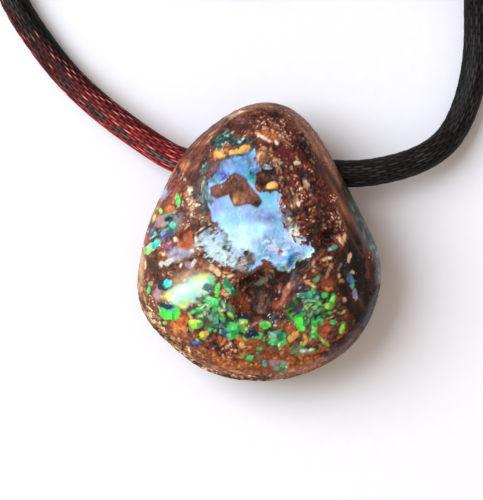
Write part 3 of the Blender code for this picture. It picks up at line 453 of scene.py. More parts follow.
# mark, softness, recipe, how far it is drawn out
CRUMBS = (
    # the left bank and the shoulder
    (-5.6, 8.7, 3.6, 1.7, 56, 0.4, "left rind", 2.6),
    (-8.4, 4.4, 3.6, 1.2, 64, 0.4, "orange rind", 2.4),
    (-5.7, 5.6, 2.4, 0.6, 80, 0.25, "maroon glass", 3),
    (-6.15, 3.6, 1.5, 0.36, 88, 0.15, "tan sugar", 1), (-6.8, 5.6, 1.3, 0.22, -59, 0.1, "tan sugar", 1),
    (-6, 6.6, 0.6, 0.13, 80, 0.1, "tan sugar", 1), (-2.6, -3.3, 1.6, 0.3, -42, 0.12, "tan sugar", 1),
    # the right flank and the rim
    (6.1, 7.6, 5.8, 1.5, -62, 0.3, "right rind", 5), (5.35, 9, 3.4, 0.5, -60, 0.15, "orange rind", 6),
    (8.2, 2.6, 3.4, 0.9, -66, 0.3, "right rind", 5), (8.95, -3.7, 4.1, 1.75, -80, 0.3, "black rind", 5),
    (9.9, -2.4, 3, 0.4, -80, 0.2, "right rind", 5), (2.6, -3.9, 2.3, 0.8, 56, 0.3, "dark rust", 2),
    # the foot
    (0.6, -10.6, 6.2, 1.5, 0, 0.6, "amber glass", 1), (5.6, -8.6, 2.2, 1.6, 30, 0.5, "amber glass", 1),
    (-6.8, -7.6, 1.7, 1.2, -35, 0.5, "amber glass", 1), (7.3, -9.2, 2, 0.6, 36, 0.3, "maroon glass", 1),
    (-7.25, -7.25, 1, 0.6, -10, 0.3, "orange glass", 1), (6.7, -7.6, 0.85, 1.3, 0, 0.2, "left rind", 1),
    (-3.8, -8.9, 2.6, 1.05, -24, 0.5, "red brown sugar", 1),
    # sugar round the opal
    (5.3, -2, 1.7, 1, 15, 0.35, "red brown sugar", 1),
    (0.9, 10.4, 1.8, 1, -20, 0.4, "red brown sugar", 1),
    (-1.9, 10.6, 1.4, 0.6, 5, 0.25, "maroon glass", 2), (5.3, 2.2, 1.6, 1, -60, 0.5, "dark sugar", 1),
    (2.9, 3.9, 1.9, 0.6, -72, 0.4, "tan sugar", 1.6), (1.7, 6.9, 0.8, 0.5, -50, 0.3, "tan sugar", 1),
    (-4.6, 1.4, 0.9, 0.5, 10, 0.3, "tan sugar", 1), (2.8, 1.5, 1.2, 0.55, -45, 0.3, "frayed edge", 1),
    (4.2, 5.6, 0.9, 0.5, -60, 0.3, "black hollow", 1),
    (4.3, 8.4, 1.1, 0.35, -60, 0.2, "black hollow", 1),
    # the hollow and the crack
    (0.5, -4.5, 2.4, 1.8, 84, 0.3, "dark rust", 1.6), (0.9, -6.6, 1.4, 0.7, 20, 0.3, "dark rust", 1.6),
    # a painted shadow under the right lobe, in the hollow's black
    (2.9, -3, 1.5, 0.5, 38, 0.15, "black hollow", 1),
    (4.9, -0.95, 1.7, 0.25, 32, 0.1, "black hollow", 4),
    (2.7, -2.9, 1.6, 0.42, 45, 0.12, "black hollow", 4),
    (-1.75, -5.2, 1.25, 0.42, -72, 0.2, "rust streaks", 4),
    (1.9, -5.6, 1.1, 0.3, 62, 0.2, "rust streaks", 4),
    # mossy opal, and the green parts by the opal
    (-3.9, -6.6, 2, 1.5, -25, 0.5, "mossy opal", 1), (4.4, -6, 2.1, 1.5, 15, 0.4, "mossy opal", 1),
    (1.5, -8.7, 1, 0.8, 0, 0.3, "mossy opal", 1), (-2, -7.9, 1.3, 0.6, 0, 0.3, "mossy opal", 1),
    (4.2, -9.7, 1.1, 0.4, 8, 0.25, "mossy opal", 1), (-8.5, 1.6, 1.5, 0.5, 60, 0.3, "mossy opal", 1),
    (-4.95, 4.1, 2.1, 0.28, 84, 0.08, "teal edge", 3), (-4.9, 6.6, 0.6, 0.4, 50, 0.12, "teal glass", 1),
    (-3.3, 9.15, 1.15, 0.65, 35, 0.15, "teal glass", 1),
    (-1.7, 8.9, 1.2, 0.5, 0, 0.15, "teal glass", 1),
    (-4.1, 6.9, 0.85, 0.4, 60, 0.15, "maroon glass", 1),
    (0.45, 5.8, 0.85, 0.65, 10, 0.12, "maroon glass", 1),
    (0.75, 9.65, 0.8, 0.42, -20, 0.2, "orange glass", 1.5),
)
SIDE_VEIN_OUTLINE = (
    (7.4, 5), (8.2, 3.25), (8.85, 1.7), (9.5, 0.1), (10.1, -0.9), (10.4, -1.7), (10.5, -2.6),
    (10.5, -3.8), (11.8, -3.8), (12, -1.8), (11.6, 0.2), (10.8, 2.2), (9.6, 4.2), (8.3, 5.6),
)
# where tiny new flakes crowd together: mark, how many
FLAKE_CROWDS = (
    (-4, -6.4, 2, 1.6, -25, 34), (4.6, -6, 2, 1.6, 15, 40), (-1.8, -8, 1.7, 0.8, 0, 22),
    (1.4, -8.7, 1.3, 1, 0, 22), (4, -9.2, 1.8, 0.8, 10, 14), (-8.7, 1.2, 2, 0.8, 65, 9),
    (-5.2, -8.2, 1.5, 0.8, -30, 8), (0.6, -10.4, 3, 0.8, 0, 8), (6.8, -7, 0.9, 1.4, 0, 8),
)
CROWD_HUES = ("fire", "emerald", "spring", "deep", "teal", "moss", "lime",
              "sea", "indigo", "olive", "soot", "soot")
# stretches of the opal's edge with a painted highlight: marks
PAINTED_EDGE_HIGHLIGHTS = (
    (3.6, -2.2, 2, 1.2, 30), (4.8, -0.9, 0.6, 0.35, 20), (-4.9, 2.2, 0.5, 0.5, 0),
    (-4.6, 0.9, 1.2, 0.5, 0), (1, 6.6, 0.6, 0.4, 0),
)

# ---------------- the cord's route, in mm
LEFT_RUN = (  # from the coil to the hole's left mouth
    (-19.95, 38.1, 1.27), (-21.2, 35.3, 1.27), (-22.8, 32.2, 1.27), (-23.7, 29, 1.27),
    (-23.5, 25.5, 1.27), (-22.4, 22.12, 1.27), (-20.13, 18.45, 1.3), (-18.47, 16.25, 1.5),
    (-16.49, 14.1, 2), (-14, 11.88, 2.65), (-11.15, 9.76, 3.25), (-9.2, 8.45, 3.52),
    (-7.6, 7.58, 3.6),
)
BORE_LEFT_RUN = ((-6, 7.2, 3.6), (-3, 6.97, 3.6), (0, 6.75, 3.6))
BORE_RIGHT_RUN = ((0.3, 6.73, 3.6), (3, 6.52, 3.6), (6, 6.3, 3.6))
RIGHT_RUN = (  # from the hole's right mouth, through the knot, to the coil
    (7.4, 6.22, 3.6), (8.9, 6.22, 3.58), (11.82, 6.65, 3.38), (14.86, 7.67, 2.8),
    (17.1, 9.3, 2.1), (18.25, 11.05, 1.62), (19.12, 13.3, 1.36), (19.72, 16.16, 1.28),
    (19.93, 19.2, 1.5), (19.9, 22.21, 2.25), (19.92, 24.4, 3.2), (19.61, 26.13, 3.78),
    (18.94, 28.65, 3.8), (18.26, 31.16, 3.8), (17.59, 33.67, 3.8), (16.45, 36.3, 3.8),
)
CORD_DIAMETER = 2.5
COIL_CENTRE = (-2.0, 41.0)
COIL_TURN_RADII = (10.0, 12.6, 15.2)  # the three turns side by side
COIL_LEVELS = (1.3, 3.85)
COIL_START, COIL_END = 20.0, 1610.0  # degrees clockwise from the left
COIL_POINT_STEP = 15.0
# up to this many degrees along the coil: column, level
COIL_STAGES = (
    (300, 2, 0), (660, 1, 0), (840, 0, 0), (1020, 0, 1), (1380, 1, 1), (1700, 2, 1),
)
COIL_CHANGE = 60.0  # degrees spent on a change of column or level
TIE_TURN = 90.0  # where the tie passes under the turns
TIE_RISE = 0.6
TIE_REACH = 14.0
TIE_WIDTH = 3.0
TIE_THICKNESS = 0.5
COIL_HEIGHT = 5.1
CORD_GAP = 0.3
KNOT_CENTRE = (18.6, 29.9, 3.8)
KNOT_HEADING = 105.0  # degrees, about +Z from +X, along the cord
KNOT_PITCH = 2.45
KNOT_TURNS = 2.0
KNOT_TURN_RADIUS = 2.42


# ---------------- small helpers
def linear(code):
    """An sRGB hex colour as linear red, green, blue."""
    channels = [int(code[i : i + 2], 16) / 255 for i in (1, 3, 5)]
    return tuple(c / 12.92 if c <= 0.04045 else ((c + 0.055) / 1.055) ** 2.4 for c in channels)


def hue(colour):
    """A mineral's name or a hex code as a linear colour; numbers stay as they are."""
    return np.array(linear(MINERALS.get(colour, colour)) if isinstance(colour, str) else colour)


def opaque(colour):
    """A colour with full cover, as a shader's socket takes it."""
    return (*hue(colour), 1.0)


def feed(node, inputs):
    """Set a node's inputs: each takes a value or another node's socket."""
    for key, value in inputs.items():
        if isinstance(value, bpy.types.NodeSocket):
            node.id_data.links.new(value, node.inputs[key])
        else:
            node.inputs[key].default_value = value


class Nodes:
    """A node tree, with short names for the nodes that are added most."""

    def __init__(self, tree):
        self.tree = tree

    def add(self, kind, inputs=None, **settings):
        """Add a node with its settings and inputs."""
        node = self.tree.nodes.new(kind)
        for name, value in settings.items():
            setattr(node, name, value)
        feed(node, inputs or {})
        return node

    def sums(self, operation, first, second=0.0):
        """What one maths node gives."""
        return self.add("ShaderNodeMath", {0: first, 1: second}, operation=operation).outputs[0]

    def times(self, product, *others):
        """Several values multiplied together."""
        for other in others:
            product = self.sums("MULTIPLY", product, other)
        return product

    def ramp(self, value, low, high, at_low=0.0, at_high=1.0, **settings):
        """A value carried from one range to another, and held at the ends."""
        return self.add("ShaderNodeMapRange", {0: value, 1: low, 2: high, 3: at_low, 4: at_high},
                        **settings).outputs[0]

    def level(self, share, first, second):
        """One number mixed towards another."""
        return self.add("ShaderNodeMix", {0: share, 2: first, 3: second}).outputs[0]

    def tint(self, share, first, second):
        """One colour mixed towards another; each is a socket, a hex code or linear."""
        colours = [value if isinstance(value, bpy.types.NodeSocket) else opaque(value)
                   for value in (first, second)]
        return self.add("ShaderNodeMix", {0: share, 6: colours[0], 7: colours[1]},
                        data_type="RGBA").outputs[2]

    def scaled(self, vector, amount):
        """A vector or a colour multiplied by a number."""
        return self.add("ShaderNodeVectorMath", {0: vector, "Scale": amount},
                        operation="SCALE").outputs[0]

    def vector(self, *parts):
        """Three numbers as a vector."""
        return self.add("ShaderNodeCombineXYZ", dict(enumerate(parts))).outputs[0]

    def noise(self, place, scale, detail=2.0, roughness=0.5):
        """Fractal noise, mostly from 0.3 to 0.7."""
        return self.add("ShaderNodeTexNoise", {
            "Vector": place, "Scale": scale, "Detail": detail,
            "Roughness": roughness}).outputs["Fac"]

    def place(self):
        """Where a point of the object lies."""
        return self.add("ShaderNodeTexCoord").outputs["Object"]

    def field(self, name, output="Fac"):
        """What the mesh keeps at each point under a name."""
        return self.add("ShaderNodeAttribute", attribute_name=name).outputs[output]

    def bump(self, height, distance, strength):
        """The normal of a surface that stands out by a height."""
        return self.add("ShaderNodeBump", {"Height": height, "Distance": distance,
                                           "Strength": strength}).outputs[0]

    def stitches(self, turn, along, columns, stitch):
        """A braid's columns and rows, and how far a point is off its stitch's middle."""
        column = self.times(turn, columns)
        stagger = self.times(self.sums("MODULO", self.sums("FLOOR", column), 2.0), 0.5)
        row = self.sums("ADD", self.sums("DIVIDE", along, stitch), stagger)
        across, down = (self.sums("SUBTRACT", self.sums("FRACT", share), 0.5)
                        for share in (column, row))
        return column, row, across, down


def new_material(name):
    """A new material, its nodes and its shader."""
    material = bpy.data.materials.new(name)
    material.use_nodes = True
    return material, Nodes(material.node_tree), material.node_tree.nodes["Principled BSDF"]


def smooth(low, high, value):
    """0 below low, 1 above high, and a smooth step between; low may be above high."""
    share = np.clip((value - low) / (high - low), 0.0, 1.0)
    return share * share * (3.0 - 2.0 * share)


def noise_at(points, spacing, shift=0.0):
    """Smooth noise from -1 to 1 at points in mm."""
    offset = Vector((shift, 0.0, 0.0))
    return np.array([noise.noise((Vector(p) + offset) / spacing) for p in points])


def evened(values):
    """The same values in the same order, spread evenly from 0 to 1."""
    level = np.empty(len(values))
    level[np.argsort(values)] = np.linspace(0.0, 1.0, len(values))
    return level


def shards(points, size):
    """Angular cells: a tone from 0 to 1 for each point's cell, and how far in from its edge."""
    tones, depths = np.empty((2, len(points)))
    for i, point in enumerate(points):
        gaps, seeds = noise.voronoi(Vector(point) / size)
        tones[i] = noise.cell(seeds[0] * 7.3)  # an odd factor, so that each seed has a tone
        depths[i] = gaps[1] - gaps[0]
    return evened(tones), depths


def blend(level, recipe):
    """Colours along a recipe's stops."""
    shares, colours = RECIPES[recipe][::2], RECIPES[recipe][1::2]
    channels = np.array([linear(colour) for colour in colours]).T
    return np.stack([np.interp(level, shares, channel) for channel in channels], axis=1)


def turned(x, y, mark):
    """How far points lie from a mark's middle, along it and across it."""
    angle = math.radians(mark[4])
    off_x, off_y = x - mark[0], y - mark[1]
    return (off_x * math.cos(angle) + off_y * math.sin(angle),
            off_y * math.cos(angle) - off_x * math.sin(angle))


def ellipse_distance(x, y, mark, squareness=2.0):
    """Roughly how far points lie outside a turned ellipse, in mm (negative inside)."""
    along, across = turned(x, y, mark)
    reach = (np.abs(along / mark[2]) ** squareness
             + np.abs(across / mark[3]) ** squareness) ** (1.0 / squareness)
    return (reach - 1.0) * min(mark[2:4])


def outline_distance(x, y, outline):
    """Signed distance in mm from a closed outline, negative inside."""
    nearest = np.full(len(x), np.inf)
    inside = np.zeros(len(x), dtype=bool)
    for (start_x, start_y), (end_x, end_y) in zip(outline[-1:] + outline[:-1], outline):
        run_x, run_y = end_x - start_x, end_y - start_y
        share = ((x - start_x) * run_x + (y - start_y) * run_y) / (run_x**2 + run_y**2)
        share = np.clip(share, 0.0, 1.0)
        gap = np.hypot(x - start_x - share * run_x, y - start_y - share * run_y)
        nearest = np.minimum(nearest, gap)
        if run_y:
            crosses = (start_y > y) != (end_y > y)
            inside ^= crosses & (x < start_x + (y - start_y) * run_x / run_y)
    return np.where(inside, -nearest, nearest)


def mix_in(target, colour, cover):
    """Mix a colour or a value into an array by how far it covers each point."""
    target += (hue(colour) - target) * (cover[:, None] if target.ndim == 2 else cover)


def new_mesh_object(name, mesh):
    """Link a finished mesh to the scene as a named object at the origin."""
    thing = bpy.data.objects.new(name, mesh)
    bpy.context.scene.collection.objects.link(thing)
    return thing


def from_shape(name, shape):
    """Make a named object of a shape, and free the shape."""
    mesh = bpy.data.meshes.new(name)
    shape.to_mesh(mesh)
    shape.free()
    return new_mesh_object(name, mesh)


def baked(thing):
    """An object's mesh with its modifiers applied."""
    evaluated = thing.evaluated_get(bpy.context.evaluated_depsgraph_get())
    return bpy.data.meshes.new_from_object(evaluated)


def store(mesh, name, values):
    """Keep one number or one colour for each point of a mesh."""
    if values.ndim == 2:
        layer = mesh.attributes.new(name, "FLOAT_COLOR", "POINT")
        rgba = np.column_stack([values, np.ones(len(values))])
        layer.data.foreach_set("color", rgba.astype(np.float32).ravel())
    else:
        layer = mesh.attributes.new(name, "FLOAT", "POINT")
        layer.data.foreach_set("value", values.astype(np.float32))


# ---------------- settings
class StoneSettings(bpy.types.PropertyGroup):
    """What a user would change on the stone."""

    face_steps: bpy.props.IntProperty(
        name="Face steps", description="Grid steps across the domed face", default=280, min=40)
    matrix_colour: bpy.props.FloatVectorProperty(
        name="Ironstone", description="The ironstone between the named patches",
        default=linear("#6E3420"), subtype="COLOR", min=0.0, max=1.0)
    polish: bpy.props.FloatProperty(
        name="Polished roughness", description="Roughness of the tumbled faces",
        default=0.30, min=0.0, max=1.0, subtype="FACTOR")
    grain: bpy.props.FloatProperty(
        name="Grain size", description="Width of one grain of the sugary ironstone",
        default=0.27 * MM, unit="LENGTH", precision=5)


class CordSettings(bpy.types.PropertyGroup):
    """What a user would change on the cord, knot and tie."""

    diameter: bpy.props.FloatProperty(
        name="Cord diameter", description="Width of the satin cord",
        default=CORD_DIAMETER * MM, unit="LENGTH", precision=5)
    stitch: bpy.props.FloatProperty(
        name="Stitch length", description="Length of one stitch of the braid",
        default=1.25 * MM, unit="LENGTH", precision=5)
    columns: bpy.props.IntProperty(
        name="Columns", description="Columns of stitches round the cord", default=30, min=6)
    relief: bpy.props.FloatProperty(
        name="Stitch relief", description="How far a stitch stands out",
        default=0.07 * MM, unit="LENGTH", precision=6)
    marker_turn: bpy.props.FloatProperty(
        name="Marker yarn turn", description="Where the black yarn lies round the cord, in turns",
        default=-0.335, min=-0.5, max=0.5)
    marker_step: bpy.props.FloatProperty(
        name="Marker yarn step", description="From one showing of the black yarn to the next",
        default=3.5 * MM, unit="LENGTH", precision=5)
    red: bpy.props.FloatVectorProperty(
        name="Red dye", description="The cord's maroon stretch",
        default=linear("#792426"), subtype="COLOR", min=0.0, max=1.0)
    black: bpy.props.FloatVectorProperty(
        name="Black dye", description="The cord's black stretch",
        default=linear("#373333"), subtype="COLOR", min=0.0, max=1.0)


class StageSettings(bpy.types.PropertyGroup):
    """What a user would change on the floor and the light."""

    floor_colour: bpy.props.FloatVectorProperty(
        name="Floor", description="The pale paper under the pendant",
        default=linear("#EAE9EF"), subtype="COLOR", min=0.0, max=1.0)
    key_power: bpy.props.FloatProperty(
        name="Window light", description="Power of the soft light from the upper left",
        default=2.7, min=0.0, unit="POWER")
    sky: bpy.props.FloatProperty(
        name="Room light", description="Strength of the light from the walls all round",
        default=1.05, min=0.0)


# ---------------- the camera
CAMERA_PLACE = (-1.62, -0.73, 500.0)  # straight above the middle of the view
CAMERA_DISTANCE = 496.0  # from the lens to the level at which the view's height is measured
CAMERA_CLIP = (0.01, 10.0)  # metres
VIEW_HEIGHT = 45.45
SENSOR_HEIGHT = 24.0


class OPAL_OT_camera(bpy.types.Operator):
    """Stand the camera straight above the stone."""

    bl_idname = "boulder_opal.camera"
    bl_label = "Camera"

    def execute(self, context):
        lens = bpy.data.cameras.new("overhead camera")
        lens.sensor_fit = "VERTICAL"
        lens.sensor_height = SENSOR_HEIGHT
        lens.lens = SENSOR_HEIGHT * CAMERA_DISTANCE / VIEW_HEIGHT
        lens.clip_start, lens.clip_end = CAMERA_CLIP
        camera = bpy.data.objects.new("overhead camera", lens)
        context.scene.collection.objects.link(camera)
        camera.location = Vector(CAMERA_PLACE) * MM
        context.scene.camera = camera
        return {"FINISHED"}


# ---------------- the cord
ROUTE_STEPS = 24  # points in each span of the route
TUBE_SIDES = 60
FINE_REACH = 34.0  # this much of each lead, from the stone, has the finest rings
FINE_STEP, COARSE_STEP = 0.16, 0.37


def smooth_run(points, steps):
    """The natural cubic curve through a route's points, with so many steps to each span."""
    knots = np.array(points, dtype=float)
    spans = np.linalg.norm(np.diff(knots, axis=0), axis=1)
    count = len(knots)
    system = np.eye(count)
    bends = np.zeros((count, 3))
    for i in range(1, count - 1):
        system[i, i - 1 : i + 2] = (spans[i - 1], 2 * (spans[i - 1] + spans[i]), spans[i])
        bends[i] = 6 * ((knots[i + 1] - knots[i]) / spans[i]
                        - (knots[i] - knots[i - 1]) / spans[i - 1])
    bends = np.linalg.solve(system, bends)
    fine = []
    for i in range(count - 1):
        for along in np.linspace(0.0, spans[i], steps, endpoint=(i == count - 2)):
            left, right = spans[i] - along, along
            fine.append((bends[i] * left**3 + bends[i + 1] * right**3) / (6 * spans[i])
                        + (knots[i] / spans[i] - bends[i] * spans[i] / 6) * left
                        + (knots[i + 1] / spans[i] - bends[i + 1] * spans[i] / 6) * right)
    return np.array(fine)


def coil_points():
    """The coil's turns, outer column to inner on the table, then back out on top of them."""
    points = []
    for turn in np.arange(COIL_START, COIL_END + 1.0, COIL_POINT_STEP):
        radius, level = COIL_TURN_RADII[COIL_STAGES[0][1]], COIL_LEVELS[0]
        for stage, following in zip(COIL_STAGES, COIL_STAGES[1:]):
            change = float(smooth(stage[0] - COIL_CHANGE, stage[0], turn))
            radius += (COIL_TURN_RADII[following[1]] - COIL_TURN_RADII[stage[1]]) * change
            level += (COIL_LEVELS[following[2]] - COIL_LEVELS[stage[2]]) * change
        off_tie = ((turn % 360.0) - TIE_TURN) / TIE_REACH
        level += TIE_RISE * math.exp(-off_tie * off_tie)
        heading = math.radians(180.0 - turn)
        points.append((COIL_CENTRE[0] + radius * math.cos(heading),
                       COIL_CENTRE[1] + radius * math.sin(heading), level))
    return points


def cord_path():
    """Ring centres along the whole cord, in mm: closest together where the cord shows best."""
    route = (*BORE_LEFT_RUN[::-1], *LEFT_RUN[::-1], *coil_points(), *RIGHT_RUN[::-1],
             *BORE_RIGHT_RUN[::-1])
    fine = smooth_run(route, ROUTE_STEPS)
    travel = np.concatenate([[0.0], np.cumsum(np.linalg.norm(np.diff(fine, axis=0), axis=1))])
    total = travel[-1]
    wanted = [0.0]
    while wanted[-1] < total - 1e-6:
        near_end = min(wanted[-1], total - wanted[-1])
        step = FINE_STEP if near_end < FINE_REACH else COARSE_STEP
        wanted.append(min(wanted[-1] + step, total))
    return np.stack([np.interp(wanted, travel, fine[:, k]) for k in range(3)], axis=1), total


def kept_along(nodes, curve, name, measure):
    """A curve on which each point keeps how far along it lies."""
    kept = nodes.add("GeometryNodeCaptureAttribute", {"Geometry": curve})
    kept.capture_items.new("FLOAT", name)
    feed(kept, {name: nodes.add("GeometryNodeSplineParameter").outputs[measure]})
    return kept.outputs["Geometry"], kept.outputs[name]


def braid_tree():
    """Geometry Nodes: a tube along a path, with staggered columns of stitches standing out."""
    tree = bpy.data.node_groups.new("Braided tube", "GeometryNodeTree")
    for name, kind in (("Geometry", "Geometry"), ("Radius", "Float"), ("Sides", "Int"),
                       ("Columns", "Int"), ("Stitch Length", "Float"), ("Relief", "Float"),
                       ("Material", "Material")):
        tree.interface.new_socket(name, in_out="INPUT", socket_type="NodeSocket" + kind)
    tree.interface.new_socket("Geometry", in_out="OUTPUT", socket_type="NodeSocketGeometry")
    nodes = Nodes(tree)
    sums, times = nodes.sums, nodes.times
    given = nodes.add("NodeGroupInput").outputs
    path, along = kept_along(nodes, given["Geometry"], "Along", "Length")
    ring = nodes.add("GeometryNodeCurvePrimitiveCircle",
                     {"Resolution": given["Sides"], "Radius": given["Radius"]})
    profile, around = kept_along(nodes, ring.outputs["Curve"], "Around", "Factor")
    tube = nodes.add("GeometryNodeCurveToMesh", {
        "Curve": path, "Profile Curve": profile, "Fill Caps": True}).outputs[0]
    _, _, across, down = nodes.stitches(around, along, given["Columns"], given["Stitch Length"])
    # a stitch is round across the cord, and flatter along it
    round_across = sums("SUBTRACT", 1.0, times(across, across, 4.0))
    square = times(down, down, 4.0)
    round_down = sums("SUBTRACT", 1.0, times(square, square))
    height = times(round_across, round_down, given["Relief"])
    push = nodes.scaled(nodes.add("GeometryNodeInputNormal").outputs[0], height)
    turn = times(around, math.tau)
    braid = nodes.vector(sums("COSINE", turn), sums("SINE", turn), along)
    for kind, inputs, settings in (
            ("GeometryNodeSetPosition", {"Offset": push}, {}),
            ("GeometryNodeStoreNamedAttribute", {"Name": "braid", "Value": braid},
             {"data_type": "FLOAT_VECTOR", "domain": "POINT"}),
            ("GeometryNodeSetShadeSmooth", {}, {}),
            ("GeometryNodeRealizeInstances", {}, {}),
            ("GeometryNodeSetMaterial", {"Material": given["Material"]}, {})):
        tube = nodes.add(kind, {"Geometry": tube, **inputs}, **settings).outputs["Geometry"]
    nodes.add("NodeGroupOutput", {"Geometry": tube})
    return tree


def braided_tube(name, points, tree, material):
    """A braided cord along a path in mm, baked to a plain mesh."""
    settings = bpy.context.scene.opal_cord
    curve = bpy.data.curves.new(name + " path", "CURVE")
    curve.dimensions = "3D"
    spline = curve.splines.new("POLY")
    spline.points.add(len(points) - 1)
    flat = np.column_stack([np.asarray(points) * MM, np.ones(len(points))])
    spline.points.foreach_set("co", flat.astype(np.float32).ravel())
    guide = new_mesh_object(name + " path", curve)
    braid = guide.modifiers.new("braid", "NODES")
    braid.node_group = tree
    sockets = {item.name: item.identifier for item in tree.interface.items_tree
               if item.in_out == "INPUT"}
    values = {"Radius": 0.5 * settings.diameter - settings.relief, "Sides": TUBE_SIDES,
              "Columns": settings.columns, "Stitch Length": settings.stitch,
              "Relief": settings.relief, "Material": material}
    for label, value in values.items():
        braid[sockets[label]] = value
    mesh = baked(guide)
    mesh.name = name
    bpy.data.objects.remove(guide)
    shape = bmesh.new()
    shape.from_mesh(mesh)
    bmesh.ops.recalc_face_normals(shape, faces=shape.faces)
    shape.to_mesh(mesh)
    shape.free()
    return new_mesh_object(name, mesh)


FILAMENT_STRETCH = (9.0, 9.0, 900.0)  # the filaments' pattern, round the cord and along it
DYE_SLANT = 4.2 * MM  # how much further along the dye starts on one side of the cord
DYE_TURN = (17.5 * MM, 31.0 * MM)  # where along the cord the maroon starts and ends its turn
BRIGHT_NEAR_STONE = (9.0 * MM, 20.0 * MM)  # where along the cord it is brightest, and where it has dimmed to its usual tone
SATIN_LIGHT = "#F0A898"  # the light that a stitch's crown catches
SATIN_ROUGHNESS, SATIN_SPECULAR = 0.42, 0.1
STITCH_BUMP = 0.08 * MM


def satin_material(settings):
    """Braided satin: bright threads of spun rayon or polyester, dyed maroon and black.

    The threads lie along the cord, so each stitch has a soft sheen; the thin bright line along
    its crown is a painted highlight, and one side of the cord is painted darker as shade. Real
    filaments are too fine to show, so they are drawn as coarse as they need to be.
    """
    satin, nodes, shader = new_material("braided satin, dyed maroon and black")
    sums, times, ramp = nodes.sums, nodes.times, nodes.ramp
    side, rise, along = nodes.add("ShaderNodeSeparateXYZ", {
        0: nodes.field("braid", "Vector")}).outputs
    turn = sums("DIVIDE", sums("ARCTAN2", rise, side), math.tau)
    column, row, across, down = nodes.stitches(sums("ADD", turn, 1.0), along, settings.columns,
                                               settings.stitch)
    across, down = sums("ABSOLUTE", across), sums("ABSOLUTE", down)
    stitch = nodes.vector(sums("FLOOR", column), sums("FLOOR", row))
    chance = nodes.add("ShaderNodeTexWhiteNoise", {"Vector": stitch},
                       noise_dimensions="3D").outputs["Value"]
    # the dark join between stitches; each stitch took the dye in its own way; one side of the
    # cord is painted lighter and the other darker, as painted light and shade; and it is brighter
    # towards the stone
    body = times(ramp(across, 0.16, 0.5, 1.1, 0.09), ramp(down, 0.25, 0.5, 1.1, 0.12),
                 ramp(chance, 0.0, 1.0, 0.4, 1.6), ramp(side, -1.0, 1.0, 1.3, 0.38),
                 ramp(along, *BRIGHT_NEAR_STONE, 2.15, 0.54))
    # a painted highlight: the thin bright line along each stitch's crown
    line = times(ramp(across, 0.06, 0.24, 1.0, 0.0), ramp(down, 0.05, 0.3, 1.0, 0.0),
                 ramp(chance, 0.5, 1.0, 0.0, 1.3))
    # filaments run along the cord
    spun = nodes.vector(*(times(part, stretch) for part, stretch in
                          zip((side, rise, along), FILAMENT_STRETCH)))
    threads, patchy = nodes.noise(spun, 3.0), nodes.noise(spun, 0.55)
    body = times(body, ramp(threads, 0.3, 0.7, 0.7, 1.3), ramp(patchy, 0.4, 0.6, 0.8, 1.35))
    # maroon beside the stone on the left, turning black before the coil and black from there
    dye = ramp(sums("ADD", along, times(side, DYE_SLANT)), *DYE_TURN)
    dye = ramp(sums("SUBTRACT", times(dye, 1.3), patchy), 0.0, 0.35)
    # a black marker yarn shows in one column, every other stitch or so
    off = sums("ABSOLUTE", sums("SUBTRACT", turn, settings.marker_turn))
    beat = sums("ADD", sums("DIVIDE", along, settings.marker_step), times(patchy, 1.8))
    off_beat = sums("ABSOLUTE", sums("SUBTRACT", sums("FRACT", beat), 0.5))
    marked = times(ramp(off, 0.03, 0.04, 1.0, 0.0), ramp(off_beat, 0.28, 0.35, 1.0, 0.0))
    black = sums("MAXIMUM", dye, marked)
    lit = nodes.scaled(nodes.tint(black, settings.red, settings.black), body)
    line = times(line, sums("SUBTRACT", 0.75, times(black, 0.72)))
    height = sums("ADD", times(body, 0.6), times(threads, 0.5))
    feed(shader, {"Base Color": nodes.tint(line, lit, SATIN_LIGHT),
                  "Normal": nodes.bump(height, STITCH_BUMP, 0.6),
                  "Roughness": SATIN_ROUGHNESS, "Specular IOR Level": SATIN_SPECULAR})
    return satin


class OPAL_OT_cord(bpy.types.Operator):
    """Lay the satin cord: hole, left lead, coil, right lead, hole."""

    bl_idname = "boulder_opal.cord"
    bl_label = "Satin cord"

    def execute(self, context):
        settings = context.scene.opal_cord
        points, total = cord_path()
        satin = satin_material(settings)
        cord = braided_tube("satin_cord", points, braid_tree(), satin)
        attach(cord, "root")
        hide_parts("neck_cord", "cord_coil")
        return {"FINISHED"}


KNOT_STEPS = 240  # points along the knot's wound part
TAIL_STEPS, TAIL_STEP = 39, 0.13  # the cut end that leaves it
KNOT_ALONG = 0.30  # metres: how far along the cord's dye the knot lies


class OPAL_OT_knot(bpy.types.Operator):
    """Wind the sliding barrel knot round the cord, with its short melted tail."""

    bl_idname = "boulder_opal.knot"
    bl_label = "Barrel knot"

    def execute(self, context):
        heading = math.radians(KNOT_HEADING)
        axis = Vector((math.cos(heading), math.sin(heading), 0.0))
        up = Vector((0.0, 0.0, 1.0))
        side = up.cross(axis)
        length = KNOT_PITCH * KNOT_TURNS
        points = []
        for share in np.linspace(0.0, 1.0, KNOT_STEPS):
            angle = math.tau * KNOT_TURNS * share + 0.25 * math.tau
            out = side * math.cos(angle) + up * math.sin(angle)
            points.append(Vector(KNOT_CENTRE) + axis * (length * (share - 0.5))
                          + out * KNOT_TURN_RADIUS)
        leave = (points[-1] - points[-2]).normalized()
        for step in range(1, TAIL_STEPS + 1):
            share = step / TAIL_STEPS
            ahead = (leave * (1 - share) + axis * share).normalized()
            points.append(points[-1] + ahead * TAIL_STEP)
        knot = braided_tube("barrel_knot", points, bpy.data.node_groups["Braided tube"],
                            bpy.data.materials["braided satin, dyed maroon and black"])
        layer = knot.data.attributes["braid"].data
        values = np.zeros(len(layer) * 3, dtype=np.float32)
        layer.foreach_get("vector", values)
        values[2::3] += KNOT_ALONG
        layer.foreach_set("vector", values)
        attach(knot, "root")
        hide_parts("cord_knot")
        return {"FINISHED"}


